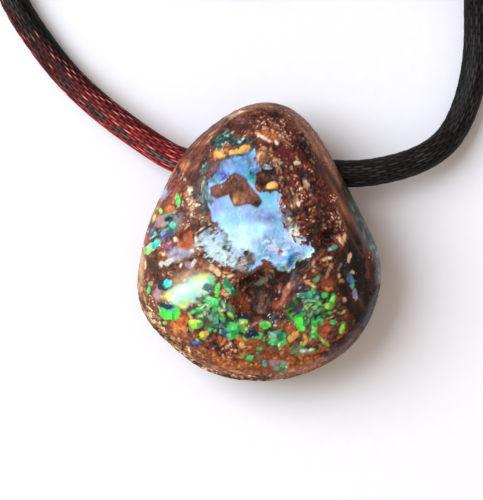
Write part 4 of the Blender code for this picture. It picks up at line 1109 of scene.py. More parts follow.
PAPER_FIBRES = 3000.0  # fibres in a metre
TIE_THIN, TIE_WIRE = 0.09, 0.24  # half the paper's thickness, and half the wire's
TIE_SECTION = (  # the tie's upper side, from edge to edge over the wire
    (-0.5 * TIE_WIDTH, TIE_THIN), (-0.45, TIE_THIN), (-0.22, 0.8 * TIE_WIRE), (0.0, TIE_WIRE),
    (0.22, 0.8 * TIE_WIRE), (0.45, TIE_THIN), (0.5 * TIE_WIDTH, TIE_THIN),
)
TIE_CORNER = 1.1  # the bend at each corner of the band
TIE_FLOOR_GAP = 0.02
TWIST_TURNS, TWIST_LENGTH, TWIST_LEVEL = 2.5, 5.0, 0.62
TWIST_OFFSET = 0.16  # each end lies this far off the twist's middle
TWIST_NARROWING, TWIST_THINNING = 0.36, 0.7  # the ends are crumpled narrow


def paper_material():
    """Black paper over a soft wire: matt and faintly fibrous."""
    paper, nodes, shader = new_material("black kraft paper, glued over wire")
    fibre = nodes.noise(nodes.place(), PAPER_FIBRES, 3.0)
    feed(shader, {"Base Color": nodes.tint(fibre, "#17161A", "#3A383C"),
                  "Normal": nodes.bump(fibre, 0.05 * MM, 0.5), "Roughness": 0.75})
    return paper


class OPAL_OT_tie(bpy.types.Operator):
    """Bend the twist tie round the coil and twist its two ends together."""

    bl_idname = "boulder_opal.tie"
    bl_label = "Twist tie"

    def execute(self, context):
        half = 0.5 * TIE_THICKNESS
        off = 0.5 * CORD_DIAMETER + CORD_GAP + half - TIE_CORNER
        inner = COIL_CENTRE[1] + COIL_TURN_RADII[0] - off
        outer = COIL_CENTRE[1] + COIL_TURN_RADII[-1] + off
        low = TIE_FLOOR_GAP + half
        top = COIL_HEIGHT + TIE_RISE + CORD_GAP + half
        shape = bmesh.new()
        self.band(shape, inner, outer, low + TIE_CORNER, top - TIE_CORNER)
        self.twist(shape, 0.5 * (inner + outer), top + half + TWIST_LEVEL)
        bmesh.ops.scale(shape, vec=(MM, MM, MM), verts=shape.verts)
        bmesh.ops.recalc_face_normals(shape, faces=shape.faces)
        tie = from_shape("twist_tie", shape)
        tie.data.materials.append(paper_material())
        tie.data.shade_smooth()
        tie.data.set_sharp_from_angle(angle=math.radians(40))
        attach(tie, "root")
        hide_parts("cord_tie")
        return {"FINISHED"}

    def sweep(self, shape, frames, closed):
        """Carry the tie's cross-section along frames: a spot, its width and its thickness."""
        section = (*TIE_SECTION, *((x, -y) for x, y in reversed(TIE_SECTION)))
        rows = [[shape.verts.new(spot + wide * x + tall * y) for x, y in section]
                for spot, wide, tall in frames]
        for first, second in zip(rows, rows[1:] + rows[:1] if closed else rows[1:]):
            for k in range(len(section)):
                shape.faces.new((first[k - 1], first[k], second[k], second[k - 1]))
        if not closed:
            shape.faces.new(rows[0])
            shape.faces.new(rows[-1])

    def band(self, shape, inner, outer, low, top):
        """The closed band, a rounded oblong in the plane across the turns."""
        frames = []
        for quarter, (y, z) in enumerate(((outer, top), (inner, top), (inner, low), (outer, low))):
            for angle in np.radians(np.linspace(90 * quarter, 90 * quarter + 90, 10)):
                out = Vector((0.0, math.cos(angle), math.sin(angle)))
                spot = Vector((COIL_CENTRE[0], y, z)) + out * TIE_CORNER
                frames.append((spot, Vector((1.0, 0.0, 0.0)), out))
        self.sweep(shape, frames, closed=True)

    def twist(self, shape, middle, level):
        """The tie's two ends twisted together and laid flat on top of the band."""
        for start in (0.0, math.pi):
            frames = []
            for share in np.linspace(0.0, 1.0, 60):
                angle = start + share * TWIST_TURNS * math.tau
                wide = Vector((math.cos(angle), 0.0, math.sin(angle)))
                tall = Vector((-math.sin(angle), 0.0, math.cos(angle)))
                spot = Vector((COIL_CENTRE[0], middle + TWIST_LENGTH * (share - 0.5), level))
                frames.append((spot + tall * TWIST_OFFSET, wide * TWIST_NARROWING,
                               tall * TWIST_THINNING))
            self.sweep(shape, frames, closed=False)


# ---------------- the stone's surface
TRACING_STEPS = 30  # how often a point of the face is traced back
TRACING_PACE = 0.6


def girdle_radius(angle):
    """The girdle's radius at angles: the smooth closed curve through the named radii."""
    count = len(GIRDLE_RADII)
    waves = np.fft.rfft(GIRDLE_RADII) / count
    radius = np.full(np.shape(angle), waves[0].real)
    for order in range(1, len(waves)):
        weight = 1.0 if order == count // 2 else 2.0
        radius += weight * (waves[order] * np.exp(1j * order * angle)).real
    return radius


def swell(x, y, landmark):
    """A landmark's smooth rise or hollow at points."""
    along, across = turned(x, y, landmark)
    reach = (along / landmark[2]) ** 2 + (across / landmark[3]) ** 2
    return landmark[5] * np.exp(-reach * reach)


def lumps(points):
    """The stone's broad lumps and small knobbles."""
    broad = noise_at(points, LUMP_SPACING)
    small = noise_at(points, KNOBBLE_SPACING, 40.0)
    return LUMP_HEIGHT * broad + KNOBBLE_HEIGHT * small


def face_points(ring, angle):
    """Points of the domed face: ring is 0 in the girdle's middle and 1 at the girdle.

    The rings lie evenly as seen from above. The summit stands off the middle, so each point is
    traced back, a little closer each time, to its own share of the way from summit to girdle.
    """
    share = 1.0 - (1.0 - ring) ** RING_CROWDING
    away_x = girdle_radius(angle) * share * np.cos(angle)
    away_y = girdle_radius(angle) * share * np.sin(angle)
    x, y = GIRDLE_CENTRE[0] + away_x, GIRDLE_CENTRE[1] + away_y
    for _ in range(TRACING_STEPS):
        lean = 1.0 - share * share
        from_x, from_y = away_x - SUMMIT_SHIFT[0] * lean, away_y - SUMMIT_SHIFT[1] * lean
        angle = np.arctan2(from_y, from_x)
        share += TRACING_PACE * (np.hypot(from_x, from_y) / girdle_radius(angle) - share)
    climb = np.arcsin(np.clip(share, 0.0, 1.0) ** (0.5 * DOME_POWER))
    reach = climb / (0.5 * math.pi)
    lift = np.clip(np.cos(climb), 0.0, 1.0) ** (2.0 / DOME_POWER)
    relief = sum(swell(x, y, landmark) for landmark in (*RELIEF.values(), *DETAIL))
    south = np.maximum(0.0, -np.sin(angle))
    flat = np.column_stack([0.6 * x, 0.6 * y, np.full(len(x), 9.0)])
    wander = RIM_GROOVE_WANDER * noise_at(flat, 1.0)
    off_groove = (reach - RIM_GROOVE_REACH - wander) / RIM_GROOVE_WIDTH
    groove = np.exp(-off_groove * off_groove) * south
    z = GIRDLE_HEIGHT + DOME_RISE * lift
    fade = 1.0 - reach**6
    z += (relief + lumps(np.column_stack([x, y, z]))) * fade - RIM_GROOVE_DEPTH * groove
    return np.column_stack([x, y, z])


def side_points(climb_share, angle):
    """Points of the rounded side: 0 at the girdle, 1 at the ground back."""
    last_climb = math.asin((GIRDLE_HEIGHT / BELLY_DROP) ** (0.5 * BELLY_POWER))
    climb = last_climb * climb_share
    radius = girdle_radius(angle) * math.cos(climb) ** (2.0 / BELLY_POWER)
    level = GIRDLE_HEIGHT - BELLY_DROP * math.sin(climb) ** (2.0 / BELLY_POWER)
    x = GIRDLE_CENTRE[0] + radius * np.cos(angle)
    y = GIRDLE_CENTRE[1] + radius * np.sin(angle)
    z = np.full(len(x), max(level, 0.0))
    push = lumps(np.column_stack([x, y, z])) * math.sin(math.pi * climb_share)
    return np.column_stack([x + push * np.cos(angle), y + push * np.sin(angle), z])


def disc_angles(a, b):
    """The angle given to each point of a square grid when it is bent to a disc."""
    wide = np.abs(a) >= np.abs(b)
    safe_a = np.where(a == 0, 1.0, a)
    safe_b = np.where(b == 0, 1.0, b)
    flat = 0.25 * math.pi * b / safe_a + np.where(a < 0, math.pi, 0.0)
    tall = 0.5 * math.pi - 0.25 * math.pi * a / safe_b + np.where(b < 0, math.pi, 0.0)
    angle = np.where(wide, flat, tall)
    return np.where((a == 0) & (b == 0), 0.0, angle)


def stone_mesh(steps):
    """The stone before drilling, in mm: the domed face, the side's rings and the back's."""
    line = np.linspace(-1.0, 1.0, steps + 1)
    a, b = (grid.ravel() for grid in np.meshgrid(line, line, indexing="ij"))
    ring = np.minimum(np.maximum(np.abs(a), np.abs(b)), 1.0)
    angle = disc_angles(a, b)
    index = np.arange((steps + 1) ** 2).reshape(steps + 1, steps + 1)
    quads = [np.stack([index[:-1, :-1], index[1:, :-1], index[1:, 1:], index[:-1, 1:]],
                      axis=-1).reshape(-1, 4)]
    loop = np.concatenate([index[-1, :-1], index[:0:-1, -1], index[0, :0:-1], index[:-1, 0]])
    rings = [side_points(level / SIDE_RINGS, angle[loop]) for level in range(1, SIDE_RINGS + 1)]
    middle = np.array([*GIRDLE_CENTRE, 0.0])
    rim = rings[-1]
    rings += [rim + (middle - rim) * (step / BACK_RINGS) for step in range(1, BACK_RINGS)]
    total = len(a)
    for _ in rings:
        fresh = total + np.arange(len(loop))
        quads.append(np.stack([loop, fresh, np.roll(fresh, -1), np.roll(loop, -1)], axis=-1))
        loop, total = fresh, total + len(loop)
    points = np.concatenate([face_points(ring, angle), *rings, middle[None, :]])
    fan = np.stack([loop, np.full(len(loop), total), np.roll(loop, -1)], axis=-1)
    mesh = bpy.data.meshes.new("polished_stone")
    mesh.from_pydata((points * MM).tolist(), [], np.concatenate(quads).tolist() + fan.tolist())
    mesh.update()
    return mesh


def rod(name, start, heading, length, radii, segments=48):
    """A closed cone or cylinder in mm from one point along a heading."""
    shape = bmesh.new()
    bmesh.ops.create_cone(shape, cap_ends=True, segments=segments, radius1=radii[0],
                          radius2=radii[1], depth=length)
    middle = Vector(start) + heading * (0.5 * length)
    place = Matrix.Translation(middle) @ heading.to_track_quat("Z", "Y").to_matrix().to_4x4()
    bmesh.ops.transform(shape, matrix=place, verts=shape.verts)
    bmesh.ops.scale(shape, vec=(MM, MM, MM), verts=shape.verts)
    return from_shape(name, shape)


def drill(stone):
    """Cut the hole and its worn left mouth, and keep the result as a plain mesh."""
    axis = (Vector(HOLE_RIGHT) - Vector(HOLE_LEFT)).normalized()
    start = Vector(HOLE_LEFT) - axis * HOLE_RUN_OUT
    length = (Vector(HOLE_RIGHT) - Vector(HOLE_LEFT)).length + 2 * HOLE_RUN_OUT
    turn = math.radians(MOUTH_HEADING)
    outwards = Vector((math.cos(turn), math.sin(turn), 0.0))
    cutters = (rod("drill", start, axis, length, (HOLE_RADIUS, HOLE_RADIUS)),
               rod("reamer", HOLE_LEFT, outwards, MOUTH_LENGTH, MOUTH_RADII))
    for cutter in cutters:
        step = stone.modifiers.new(cutter.name, "BOOLEAN")
        step.operation = "DIFFERENCE"
        step.solver = "EXACT"
        step.object = cutter
    mesh = baked(stone)
    stone.modifiers.clear()
    stone.data = mesh
    for cutter in cutters:
        bpy.data.objects.remove(cutter)


# ---------------- the stone's marks
EVERYWHERE = slice(None)
FACE_LOW, FACE_HIGH = 3.6, 5.2  # marks of the face fade out between these levels, in mm
EDGE = 0.06  # how soft a crisp mark's edge is, in mm
SHARD_SIZE = 0.62  # spacing of the angular cells that break up flakes and chips, in mm
CHIP_RAGGEDNESS = 0.24  # how far the ironstone's grain eats into a chip, in mm
# noises over the stone: spacing in mm, seed
WOBBLE, RIPPLE, CLOUD, FINE = (0.45, 11.0), (0.9, 23.0), (1.6, 37.0), (0.24, 53.0)
FLECK, CLUMP, BANDS = (0.19, 67.0), (1.3, 91.0), (1.3, 51.0)
STREAK, BROAD_STREAK = (0.14, 71.0), (0.37, 83.0)
BAND_SQUEEZE = np.array([0.35, 0.35, 2.2])  # flattens the side's bands
GRAIN_LEVELS = (0.0, 0.08, 0.28, 0.55, 0.8, 1.0)  # from the most worn grain to the least
GRAIN_TONES = (0.1, 0.22, 0.62, 0.95, 1.2, 1.45)
# degrees, about +Z from +X, at which a rim starts, is full, fades and ends
LEFT_RIM, RIGHT_RIM = (188.0, 205.0, 270.0, 292.0), (285.0, 300.0, 330.0, 346.0)
LEFT_RIM_TOP, RIGHT_RIM_TOP = (8.0, 7.1), (7.0, 6.4)  # levels at which it ends and is full
RIM_LINE_LEVEL = 5.9
PAINTED_SHEEN_VEIL = 0.02  # how much the painted sheen pales everything
GROUND_SUGAR, ZONE_RAGGEDNESS = 0.7, 0.35
GLASS_SUGAR, CRUMB_SUGAR, CHIP_SUGAR = 0.12, 0.6, 0.28  # how sugary each kind of mark is
FLAKE_SIZES, FLAKE_STRETCH = (0.07, 0.2), (1.0, 2.2)
SIDE_FLAKES = 46
SIDE_FLAKE_ARC = (150.0, 345.0)  # degrees, about +Z from +X
SIDE_FLAKE_HUES = ("fire", "emerald", "teal", "aqua", "lime", "indigo", "deep")
SIDE_FLAKE_LEVELS, SIDE_FLAKE_SIZES, SIDE_FLAKE_TURN = (0.8, 4.4), (0.25, 0.75), 40.0
SIDE_RADIUS = 11.2  # the girdle's mean radius, which turns degrees into mm along the side
BORE_FADE = 0.12  # mm over which the drilled hole's wall fades into the stone
OPAL_DROP = 0.07  # how far the opal lies below the ironstone's grain, in mm


class StonePaint:
    """Colour and finish at every point of the stone, worked out from the tables of marks."""

    def __init__(self, points, ground):
        self.points = points
        self.x, self.y, self.z = points.T
        self.colour = np.tile(np.asarray(ground, dtype=float), (len(points), 1))
        self.sugar = np.full(len(points), GROUND_SUGAR)
        self.opal, self.fire = np.zeros((2, len(points)))
        self.face = smooth(FACE_LOW, FACE_HIGH, self.z)
        self.heading = np.degrees(np.arctan2(self.y - GIRDLE_CENTRE[1], self.x - GIRDLE_CENTRE[0]))
        self.wobble = noise_at(points, *WOBBLE)
        self.ripple = noise_at(points, *RIPPLE)
        self.cloud = noise_at(points, *CLOUD)
        fine = noise_at(points, *FINE)
        self.grain = evened(fine + 0.8 * self.wobble + 0.7 * self.cloud)
        self.fleck = evened(noise_at(points, *FLECK) + 0.25 * self.cloud)
        self.shard, self.shard_depth = shards(points, SHARD_SIZE)

    def near(self, mark, margin):
        """The points that a mark can reach."""
        reach = max(mark[2:4]) + margin
        close = (np.abs(self.x - mark[0]) < reach) & (np.abs(self.y - mark[1]) < reach)
        return np.nonzero(close & (self.face > 0.0))[0]

    def cover(self, pick, mark, softness, wobble=0.0, squareness=2.0, push=0.0):
        """How far a mark covers the picked points."""
        gap = ellipse_distance(self.x[pick], self.y[pick], mark, squareness) + push
        gap = gap + wobble * (self.wobble[pick] + 0.6 * self.ripple[pick])
        return smooth(softness, -softness, gap) * self.face[pick]

    def shape(self, pick, mark, softness, wobble, ragged=0.0):
        """How far an angular piece covers the picked points: its edge follows the shards."""
        push = 1.4 * wobble * (self.shard[pick] - 0.5) + ragged * (self.grain[pick] - 0.5)
        return self.cover(pick, mark, softness, wobble, 2.6, push)

    def inside(self, outline, softness, push):
        """How far an outline covers every point, and how far each lies from its edge."""
        gap = outline_distance(self.x, self.y, outline) + push
        return smooth(softness, -softness, gap) * self.face, gap

    def lay(self, cover, colour=None, pick=EVERYWHERE, **fields):
        """Mix a colour, and values of other fields, into the picked points."""
        for name, value in {"colour": colour, **fields}.items():
            if value is not None:
                field = getattr(self, name)
                part = field[pick]
                mix_in(part, value, cover)
                field[pick] = part

    def zones(self, rows):
        """Patches of ironstone: broad, with wandering soft edges."""
        for _, *mark, softness, colour, sugar in rows:
            pick = self.near(mark, 1.5)
            wobble = min(ZONE_RAGGEDNESS, 0.2 * min(mark[2:4]))
            self.lay(self.cover(pick, mark, softness, wobble), colour, pick, sugar=sugar)

    def weather(self):
        """Wear the softer grains away: low ones go dark, high ones tan, and a few shine."""
        worn = self.sugar * self.face
        speck = evened(self.fleck + 0.7 * self.grain)
        tone = np.interp(evened(self.grain + 0.7 * self.fleck), GRAIN_LEVELS, GRAIN_TONES)
        self.colour *= (1.0 + (tone - 1.0) * worn)[:, None]
        clump = evened(noise_at(self.points, *CLUMP))
        sandy = worn * smooth(0.45, 0.75, clump)
        self.lay(0.65 * worn * smooth(0.26, 0.16, clump), "worn black")
        self.lay(0.6 * sandy * smooth(0.68, 0.84, speck), "worn tan")
        self.lay(0.8 * sandy * smooth(0.935, 0.965, speck), "worn cream")

    def crumbs(self, rows):
        """Patches with a grain of their own, ragged at the edge; some have it drawn out."""
        for *mark, softness, recipe, drawn in rows:
            pick = self.near(mark, 1.2)
            cover = self.cover(pick, mark, softness, ZONE_RAGGEDNESS)
            cover = smooth(0.25, 0.75, cover + 0.35 * (self.fleck[pick] - 0.5))
            grain = self.grain[pick] if drawn == 1 else self.streaks(pick, mark[4], drawn)
            self.lay(cover, blend(grain, recipe), pick,
                     sugar=GLASS_SUGAR if recipe in POLISHED else CRUMB_SUGAR)

    def streaks(self, pick, turn, drawn):
        """Grain drawn out along a heading, from 0 to 1 over the picked points."""
        along, across = turned(self.x[pick], self.y[pick], (0.0, 0.0, 1.0, 1.0, turn))
        spots = np.column_stack([along / drawn, across, self.z[pick]])
        fine, broad = (noise_at(spots, size * drawn, seed) for size, seed in (STREAK, BROAD_STREAK))
        return evened(fine + 1.3 * broad)

    def side_vein(self):
        """The grey-green opal vein that comes out along the stone's right edge."""
        cover, _ = self.inside(SIDE_VEIN_OUTLINE, 0.15, 0.1 * self.wobble)
        body = blend(evened(self.ripple + 0.5 * self.wobble), "teal edge")
        mix_in(body, "vein grey", 0.4 * smooth(1.0, -3.0, self.y))
        mix_in(body, "vein green", 0.7 * smooth(2.0, 4.8, self.y))
        self.lay(cover, body, sugar=0.1)

    def rim(self, start, full, fade, end, top, sway):
        """How far a stretch of the rim covers every point."""
        heading = self.heading % 360.0
        level = smooth(*top, self.z + sway * self.cloud) * self.face
        return level * smooth(start, full, heading) * smooth(end, fade, heading)

    def rims(self):
        """The weathered rims: sugary tan low on the left, dark with a tan line on the right."""
        self.lay(self.rim(*LEFT_RIM, LEFT_RIM_TOP, 0.6), blend(self.grain, "tan rim"), sugar=1.0)
        right = self.rim(*RIGHT_RIM, RIGHT_RIM_TOP, 0.5)
        self.lay(0.8 * right, "rim brown")
        line = smooth(0.35, 0.0, np.abs(self.z - RIM_LINE_LEVEL - 0.3 * self.ripple)) * right
        self.lay(0.5 * line, "rim line")

    def chips(self, rows):
        """Hard little pieces of other stone set in the ironstone."""
        for name, *mark in rows:
            pick = self.near(mark, 0.6)
            small = min(mark[2:4])
            soft = EDGE + (0.35 * small if small > 0.3 else 0.0)
            cover = self.shape(pick, mark, soft, min(0.3 * small, 0.16),
                               min(CHIP_RAGGEDNESS, 0.7 * small))
            shade = (0.8 + 0.32 * self.shard[pick] + 0.14 * self.wobble[pick])[:, None]
            self.lay(0.9 * cover, hue(name) * shade, pick)
            self.lay(cover, pick=pick, sugar=CHIP_SUGAR)

    def flashes(self, rows):
        """Angular flakes of precious opal, each in its own hue."""
        for row in rows:
            self.flake(*row)

    def flake(self, name, *mark):
        """One flake of precious opal in its dark join, in facets of light and dark."""
        pick = self.near(mark, 0.8)
        small = min(mark[2:4])
        wobble = min(0.4 * small, 0.12)
        self.lay(0.55 * self.shape(pick, mark, 0.22, wobble), "soot", pick)
        shard, pure = self.shard[pick], hue(name)
        across = turned(self.x[pick], self.y[pick], mark)[1] / mark[3]
        shade = 0.8 + 0.14 * across + 0.4 * (shard - 0.4) + 0.15 * self.ripple[pick]
        body = pure * np.clip(shade, 0.25, 1.2)[:, None]
        dull = smooth(0.24, 0.16, shard) * (0.75 if small > 0.15 else 0.3)
        mix_in(body, 0.22 * pure + 0.2 * hue("teal"), dull)
        mix_in(body, 0.45 * pure + 0.5, 0.45 * smooth(0.86, 0.93, shard))
        mix_in(body, 0.35 * pure, 0.5 * smooth(0.1, 0.03, self.shard_depth[pick]))
        self.lay(self.shape(pick, mark, EDGE, wobble), body, pick, sugar=0.0, fire=1.0)

    def crowds(self, rows, seed):
        """Tiny flakes between the ones that have a place of their own."""
        draw = np.random.default_rng(seed)
        for x, y, half_length, half_width, turn, count in rows:
            angle = math.radians(turn)
            for _ in range(count):
                spot = math.tau * draw.random()
                out = math.sqrt(draw.random())
                along = half_length * out * math.cos(spot)
                across = half_width * out * math.sin(spot)
                size = draw.uniform(*FLAKE_SIZES)
                self.flake(CROWD_HUES[draw.integers(len(CROWD_HUES))],
                           x + along * math.cos(angle) - across * math.sin(angle),
                           y + along * math.sin(angle) + across * math.cos(angle),
                           size * draw.uniform(*FLAKE_STRETCH), size, draw.uniform(0.0, 180.0))

    def glints(self):
        """A pale veil over everything as a painted sheen, and pinpoints of painted highlight."""
        self.colour += (hue("painted sheen grey") - self.colour) * PAINTED_SHEEN_VEIL
        rough = np.clip(self.sugar * 1.2, 0.0, 1.0) * self.face
        rough = rough * smooth(0.3, 0.8, evened(self.cloud))
        # painted highlights: near white pinpoints on the sugary ironstone and on the flakes
        self.lay(0.85 * rough * smooth(0.988, 0.995, self.fleck), "glint")
        self.lay(0.7 * self.fire * self.face * smooth(0.991, 0.997, self.fleck), "fire glint")

    def vein(self, outline, ground, tints, wander, softness=EDGE):
        """A body of opal inside an outline, with its tints and a thin dark join round it."""
        push = wander * (self.wobble + self.ripple + 0.8 * (self.shard - 0.5))
        for mark in FRAYED:
            near = self.near(mark, 0.6)
            push[near] += 0.9 * (self.grain[near] - 0.5) * self.cover(near, mark, 0.3)
        cover, gap = self.inside(outline, softness, push)
        if softness == EDGE:
            rim = smooth(0.32, 0.0, np.abs(gap)) * self.face
            self.lay(0.45 * rim * (1.0 - cover), "soot")
        pick = np.nonzero(cover > 0.0)[0]
        x, y, wobble, ripple, grain = (
            field[pick] for field in (self.x, self.y, self.wobble, self.ripple, self.grain))
        body = np.tile(linear(ground), (len(pick), 1))
        for *mark, soft, colour in tints:
            tint = ellipse_distance(x, y, mark) + 0.22 * (wobble + ripple)
            mix_in(body, colour, smooth(soft, -soft, tint))
        cool = evened(ripple + 0.5 * wobble)
        mix_in(body, "opal violet", 0.28 * smooth(0.72, 0.95, cool))
        mix_in(body, "opal cyan", 0.3 * smooth(0.28, 0.05, cool))
        body *= (1.0 + 0.16 * (grain - 0.5) + 0.1 * wobble)[:, None]
        mix_in(body, "opal spark", 0.3 * smooth(0.955, 0.995, self.fleck[pick]))
        # the lobe beyond the middle is broken up into white and violet brush strokes
        lobe = smooth(-0.8, 0.8, x) * smooth(1.6, 0.4, y)
        stroke = evened(grain + 0.6 * self.shard[pick])
        mix_in(body, "opal white", 0.5 * lobe * smooth(0.74, 0.92, stroke))
        mix_in(body, "opal indigo", 0.4 * lobe * smooth(0.24, 0.08, stroke))
        self.lay(cover[pick], body, pick, sugar=0.0, opal=1.0)
        # painted highlights along stretches of the opal's edge
        for mark in PAINTED_EDGE_HIGHLIGHTS:
            near = self.near(mark, 0.5)
            lit = smooth(0.11, 0.0, np.abs(gap[near] + 0.09)) * self.cover(near, mark, 0.3)
            self.lay(0.8 * lit, "painted opal edge highlight", near)

    def island(self, outline):
        """The ironstone island that stands in the opal's upper lobe."""
        cover, gap = self.inside(outline, EDGE, 0.05 * self.wobble)
        tone = hue("island") * (1.0 + 0.22 * self.ripple + 0.2 * self.wobble)[:, None]
        self.lay(cover, tone, sugar=0.5, opal=0.0)
        self.lay(0.6 * smooth(0.28, 0.0, np.abs(gap)) * cover, "island rim")
        for *mark, colour in ISLAND_MARKS:
            pick = self.near(mark, 0.5)
            self.lay(self.cover(pick, mark, 0.15, 0.08) * cover[pick], colour, pick)

    def frost(self, rows):
        """Specks of brown, grey and chalk that show through the opal."""
        for *mark, share, recipe in rows:
            pick = self.near(mark, 0.6)
            cover = self.cover(pick, mark, 0.3, 0.3) * self.opal[pick]
            specks = evened(self.grain[pick] + 0.5 * self.fleck[pick])
            cover = cover * smooth(share + 0.08, share - 0.08, specks)
            self.lay(0.85 * cover, blend(self.grain[pick], recipe), pick)

    def side(self, seed):
        """Below the face: bands of brown ironstone and a few flakes."""
        below = 1.0 - self.face
        bands = noise_at(self.points * BAND_SQUEEZE, *BANDS)
        self.lay(0.75 * below, hue("side brown") * (1.0 + 0.55 * bands)[:, None])
        self.lay(0.7 * smooth(0.28, 0.46, bands) * below, "side tan")
        self.lay(0.8 * smooth(-0.22, -0.42, bands) * below, "side dark")
        self.lay(below, sugar=0.35)
        draw = np.random.default_rng(seed)
        for _ in range(SIDE_FLAKES):
            heading = draw.uniform(*SIDE_FLAKE_ARC)
            level = draw.uniform(*SIDE_FLAKE_LEVELS)
            size = draw.uniform(*SIDE_FLAKE_SIZES)
            name = SIDE_FLAKE_HUES[draw.integers(len(SIDE_FLAKE_HUES))]
            off = np.radians((self.heading - heading + 180.0) % 360.0 - 180.0) * SIDE_RADIUS
            turn = draw.uniform(-SIDE_FLAKE_TURN, SIDE_FLAKE_TURN)
            mark = (0.0, level, size, 0.45 * size, turn)
            gap = ellipse_distance(off, self.z, mark, 3.0) + 0.05 * self.wobble
            cover = smooth(EDGE, -EDGE, gap) * below
            shade = (0.8 + 0.3 * self.ripple)[:, None]
            self.lay(cover, hue(name) * shade, sugar=0.0, fire=1.0)

    def bore(self):
        """The drilled hole's wall: plain brown ironstone, not roughened."""
        start, end = np.array(HOLE_LEFT), np.array(HOLE_RIGHT)
        axis = (end - start) / np.linalg.norm(end - start)
        away = self.points - start
        away -= np.outer(away @ axis, axis)
        self.wall = smooth(HOLE_RADIUS + BORE_FADE, HOLE_RADIUS, np.linalg.norm(away, axis=1))
        self.lay(self.wall, "bore", sugar=0.5)


HEMATITE_TAN, GRAIN_GOLD, GRAIN_CREAM = "#A8714A", "#D98F4C", "#F8DDB0"
OPAL_HAZE, HAZE_CLOUDS = "#DCEAF6", 900.0  # colour, and clouds in a metre
STONE_SPECULAR, STONE_COAT, COAT_ROUGHNESS = 0.2, 0.06, 0.1
SUGAR_ROUGHNESS = 0.7
GRAIN_BUMP = 0.12 * MM


def stone_material(settings):
    """Tumbled boulder opal: opal and ironstone polished together, the ironstone undercut.

    The opal takes a glassy polish with a little depth. The ironstone is hematite, clay and
    quartz grains about a quarter of a millimetre wide: some sparkle, and the softer ones have
    worn down, which leaves a sugary surface between the polished patches.
    """
    stone, nodes, shader = new_material("tumbled ironstone with precious opal")
    sums, times, ramp = nodes.sums, nodes.times, nodes.ramp
    sugar, opal, fire = (nodes.field(name) for name in ("sugar", "opal", "fire"))
    place = nodes.place()
    # the sugary ironstone: grains of many tones from near black to tan, over finer speckle
    grains = nodes.add("ShaderNodeTexVoronoi", {
        "Vector": place, "Scale": 1.0 / settings.grain, "Randomness": 1.0}).outputs
    draw = nodes.add("ShaderNodeSeparateColor", {0: grains["Color"]}).outputs
    speckle = nodes.noise(place, 1.6 / settings.grain, 3.0, 0.7)
    mottle = nodes.noise(place, 0.28 / settings.grain, 4.0, 0.62)
    level = sums("ADD", times(draw[0], 0.34), times(speckle, 0.9))
    level = sums("ADD", level, times(mottle, 0.7))  # about 0.5 to 1.5
    dark = nodes.level(sugar, 1.0, ramp(level, 0.76, 1.02, 0.45, 1.0))
    calm = nodes.level(sums("MAXIMUM", opal, fire), ramp(mottle, 0.34, 0.66, 0.7, 1.26), 1.0)
    toned = nodes.scaled(nodes.field("paint", "Color"), times(dark, calm))
    tan = times(ramp(level, 1.08, 1.26, 0.0, 0.4), sugar)
    sandy = nodes.tint(tan, toned, HEMATITE_TAN)
    # a few grains are cream or gold and sparkle
    pale = times(ramp(draw[1], 0.97, 0.985, 0.0, 0.5), sugar, ramp(mottle, 0.5, 0.6))
    grained = nodes.tint(pale, sandy, nodes.tint(draw[2], GRAIN_GOLD, GRAIN_CREAM))
    # clouds in the opal
    clouds = nodes.noise(place, HAZE_CLOUDS, 5.0, 0.65)
    hazy = nodes.tint(times(ramp(clouds, 0.45, 0.8, 0.0, 0.08), opal), grained, OPAL_HAZE)
    # the grains stand out of the ironstone; the polished faces are nearly flat
    relief = times(sums("SUBTRACT", 0.6, grains["Distance"]), sugar)
    height = sums("ADD", relief, times(mottle, 0.25))
    feed(shader, {"Base Color": hazy, "Normal": nodes.bump(height, GRAIN_BUMP, 0.7),
                  "Roughness": ramp(sugar, 0.0, 1.0, settings.polish, SUGAR_ROUGHNESS),
                  "Specular IOR Level": STONE_SPECULAR, "Coat Weight": STONE_COAT,
                  "Coat Roughness": COAT_ROUGHNESS})
    return stone


def roughen(mesh, paint):
    """Let the undercut ironstone's grain stand out, and set the opal a little below it."""
    points = paint.points
    grain = sum(height * noise_at(points, spacing, 5.0 + 13.0 * k)
                for k, (spacing, height) in enumerate(zip(GRAIN_SPACINGS, GRAIN_HEIGHTS)))
    lift = grain * paint.sugar - OPAL_DROP * paint.opal
    lift *= np.where(points[:, 2] > 0.05, 1.0, 0.0) * (1.0 - paint.wall)
    normals = np.zeros(len(points) * 3, dtype=np.float32)
    mesh.vertex_normals.foreach_get("vector", normals)
    moved = points + normals.reshape(-1, 3) * lift[:, None]
    moved[:, 2] = np.maximum(moved[:, 2], 0.0)
    mesh.vertices.foreach_set("co", (moved * MM).astype(np.float32).ravel())
    mesh.update()


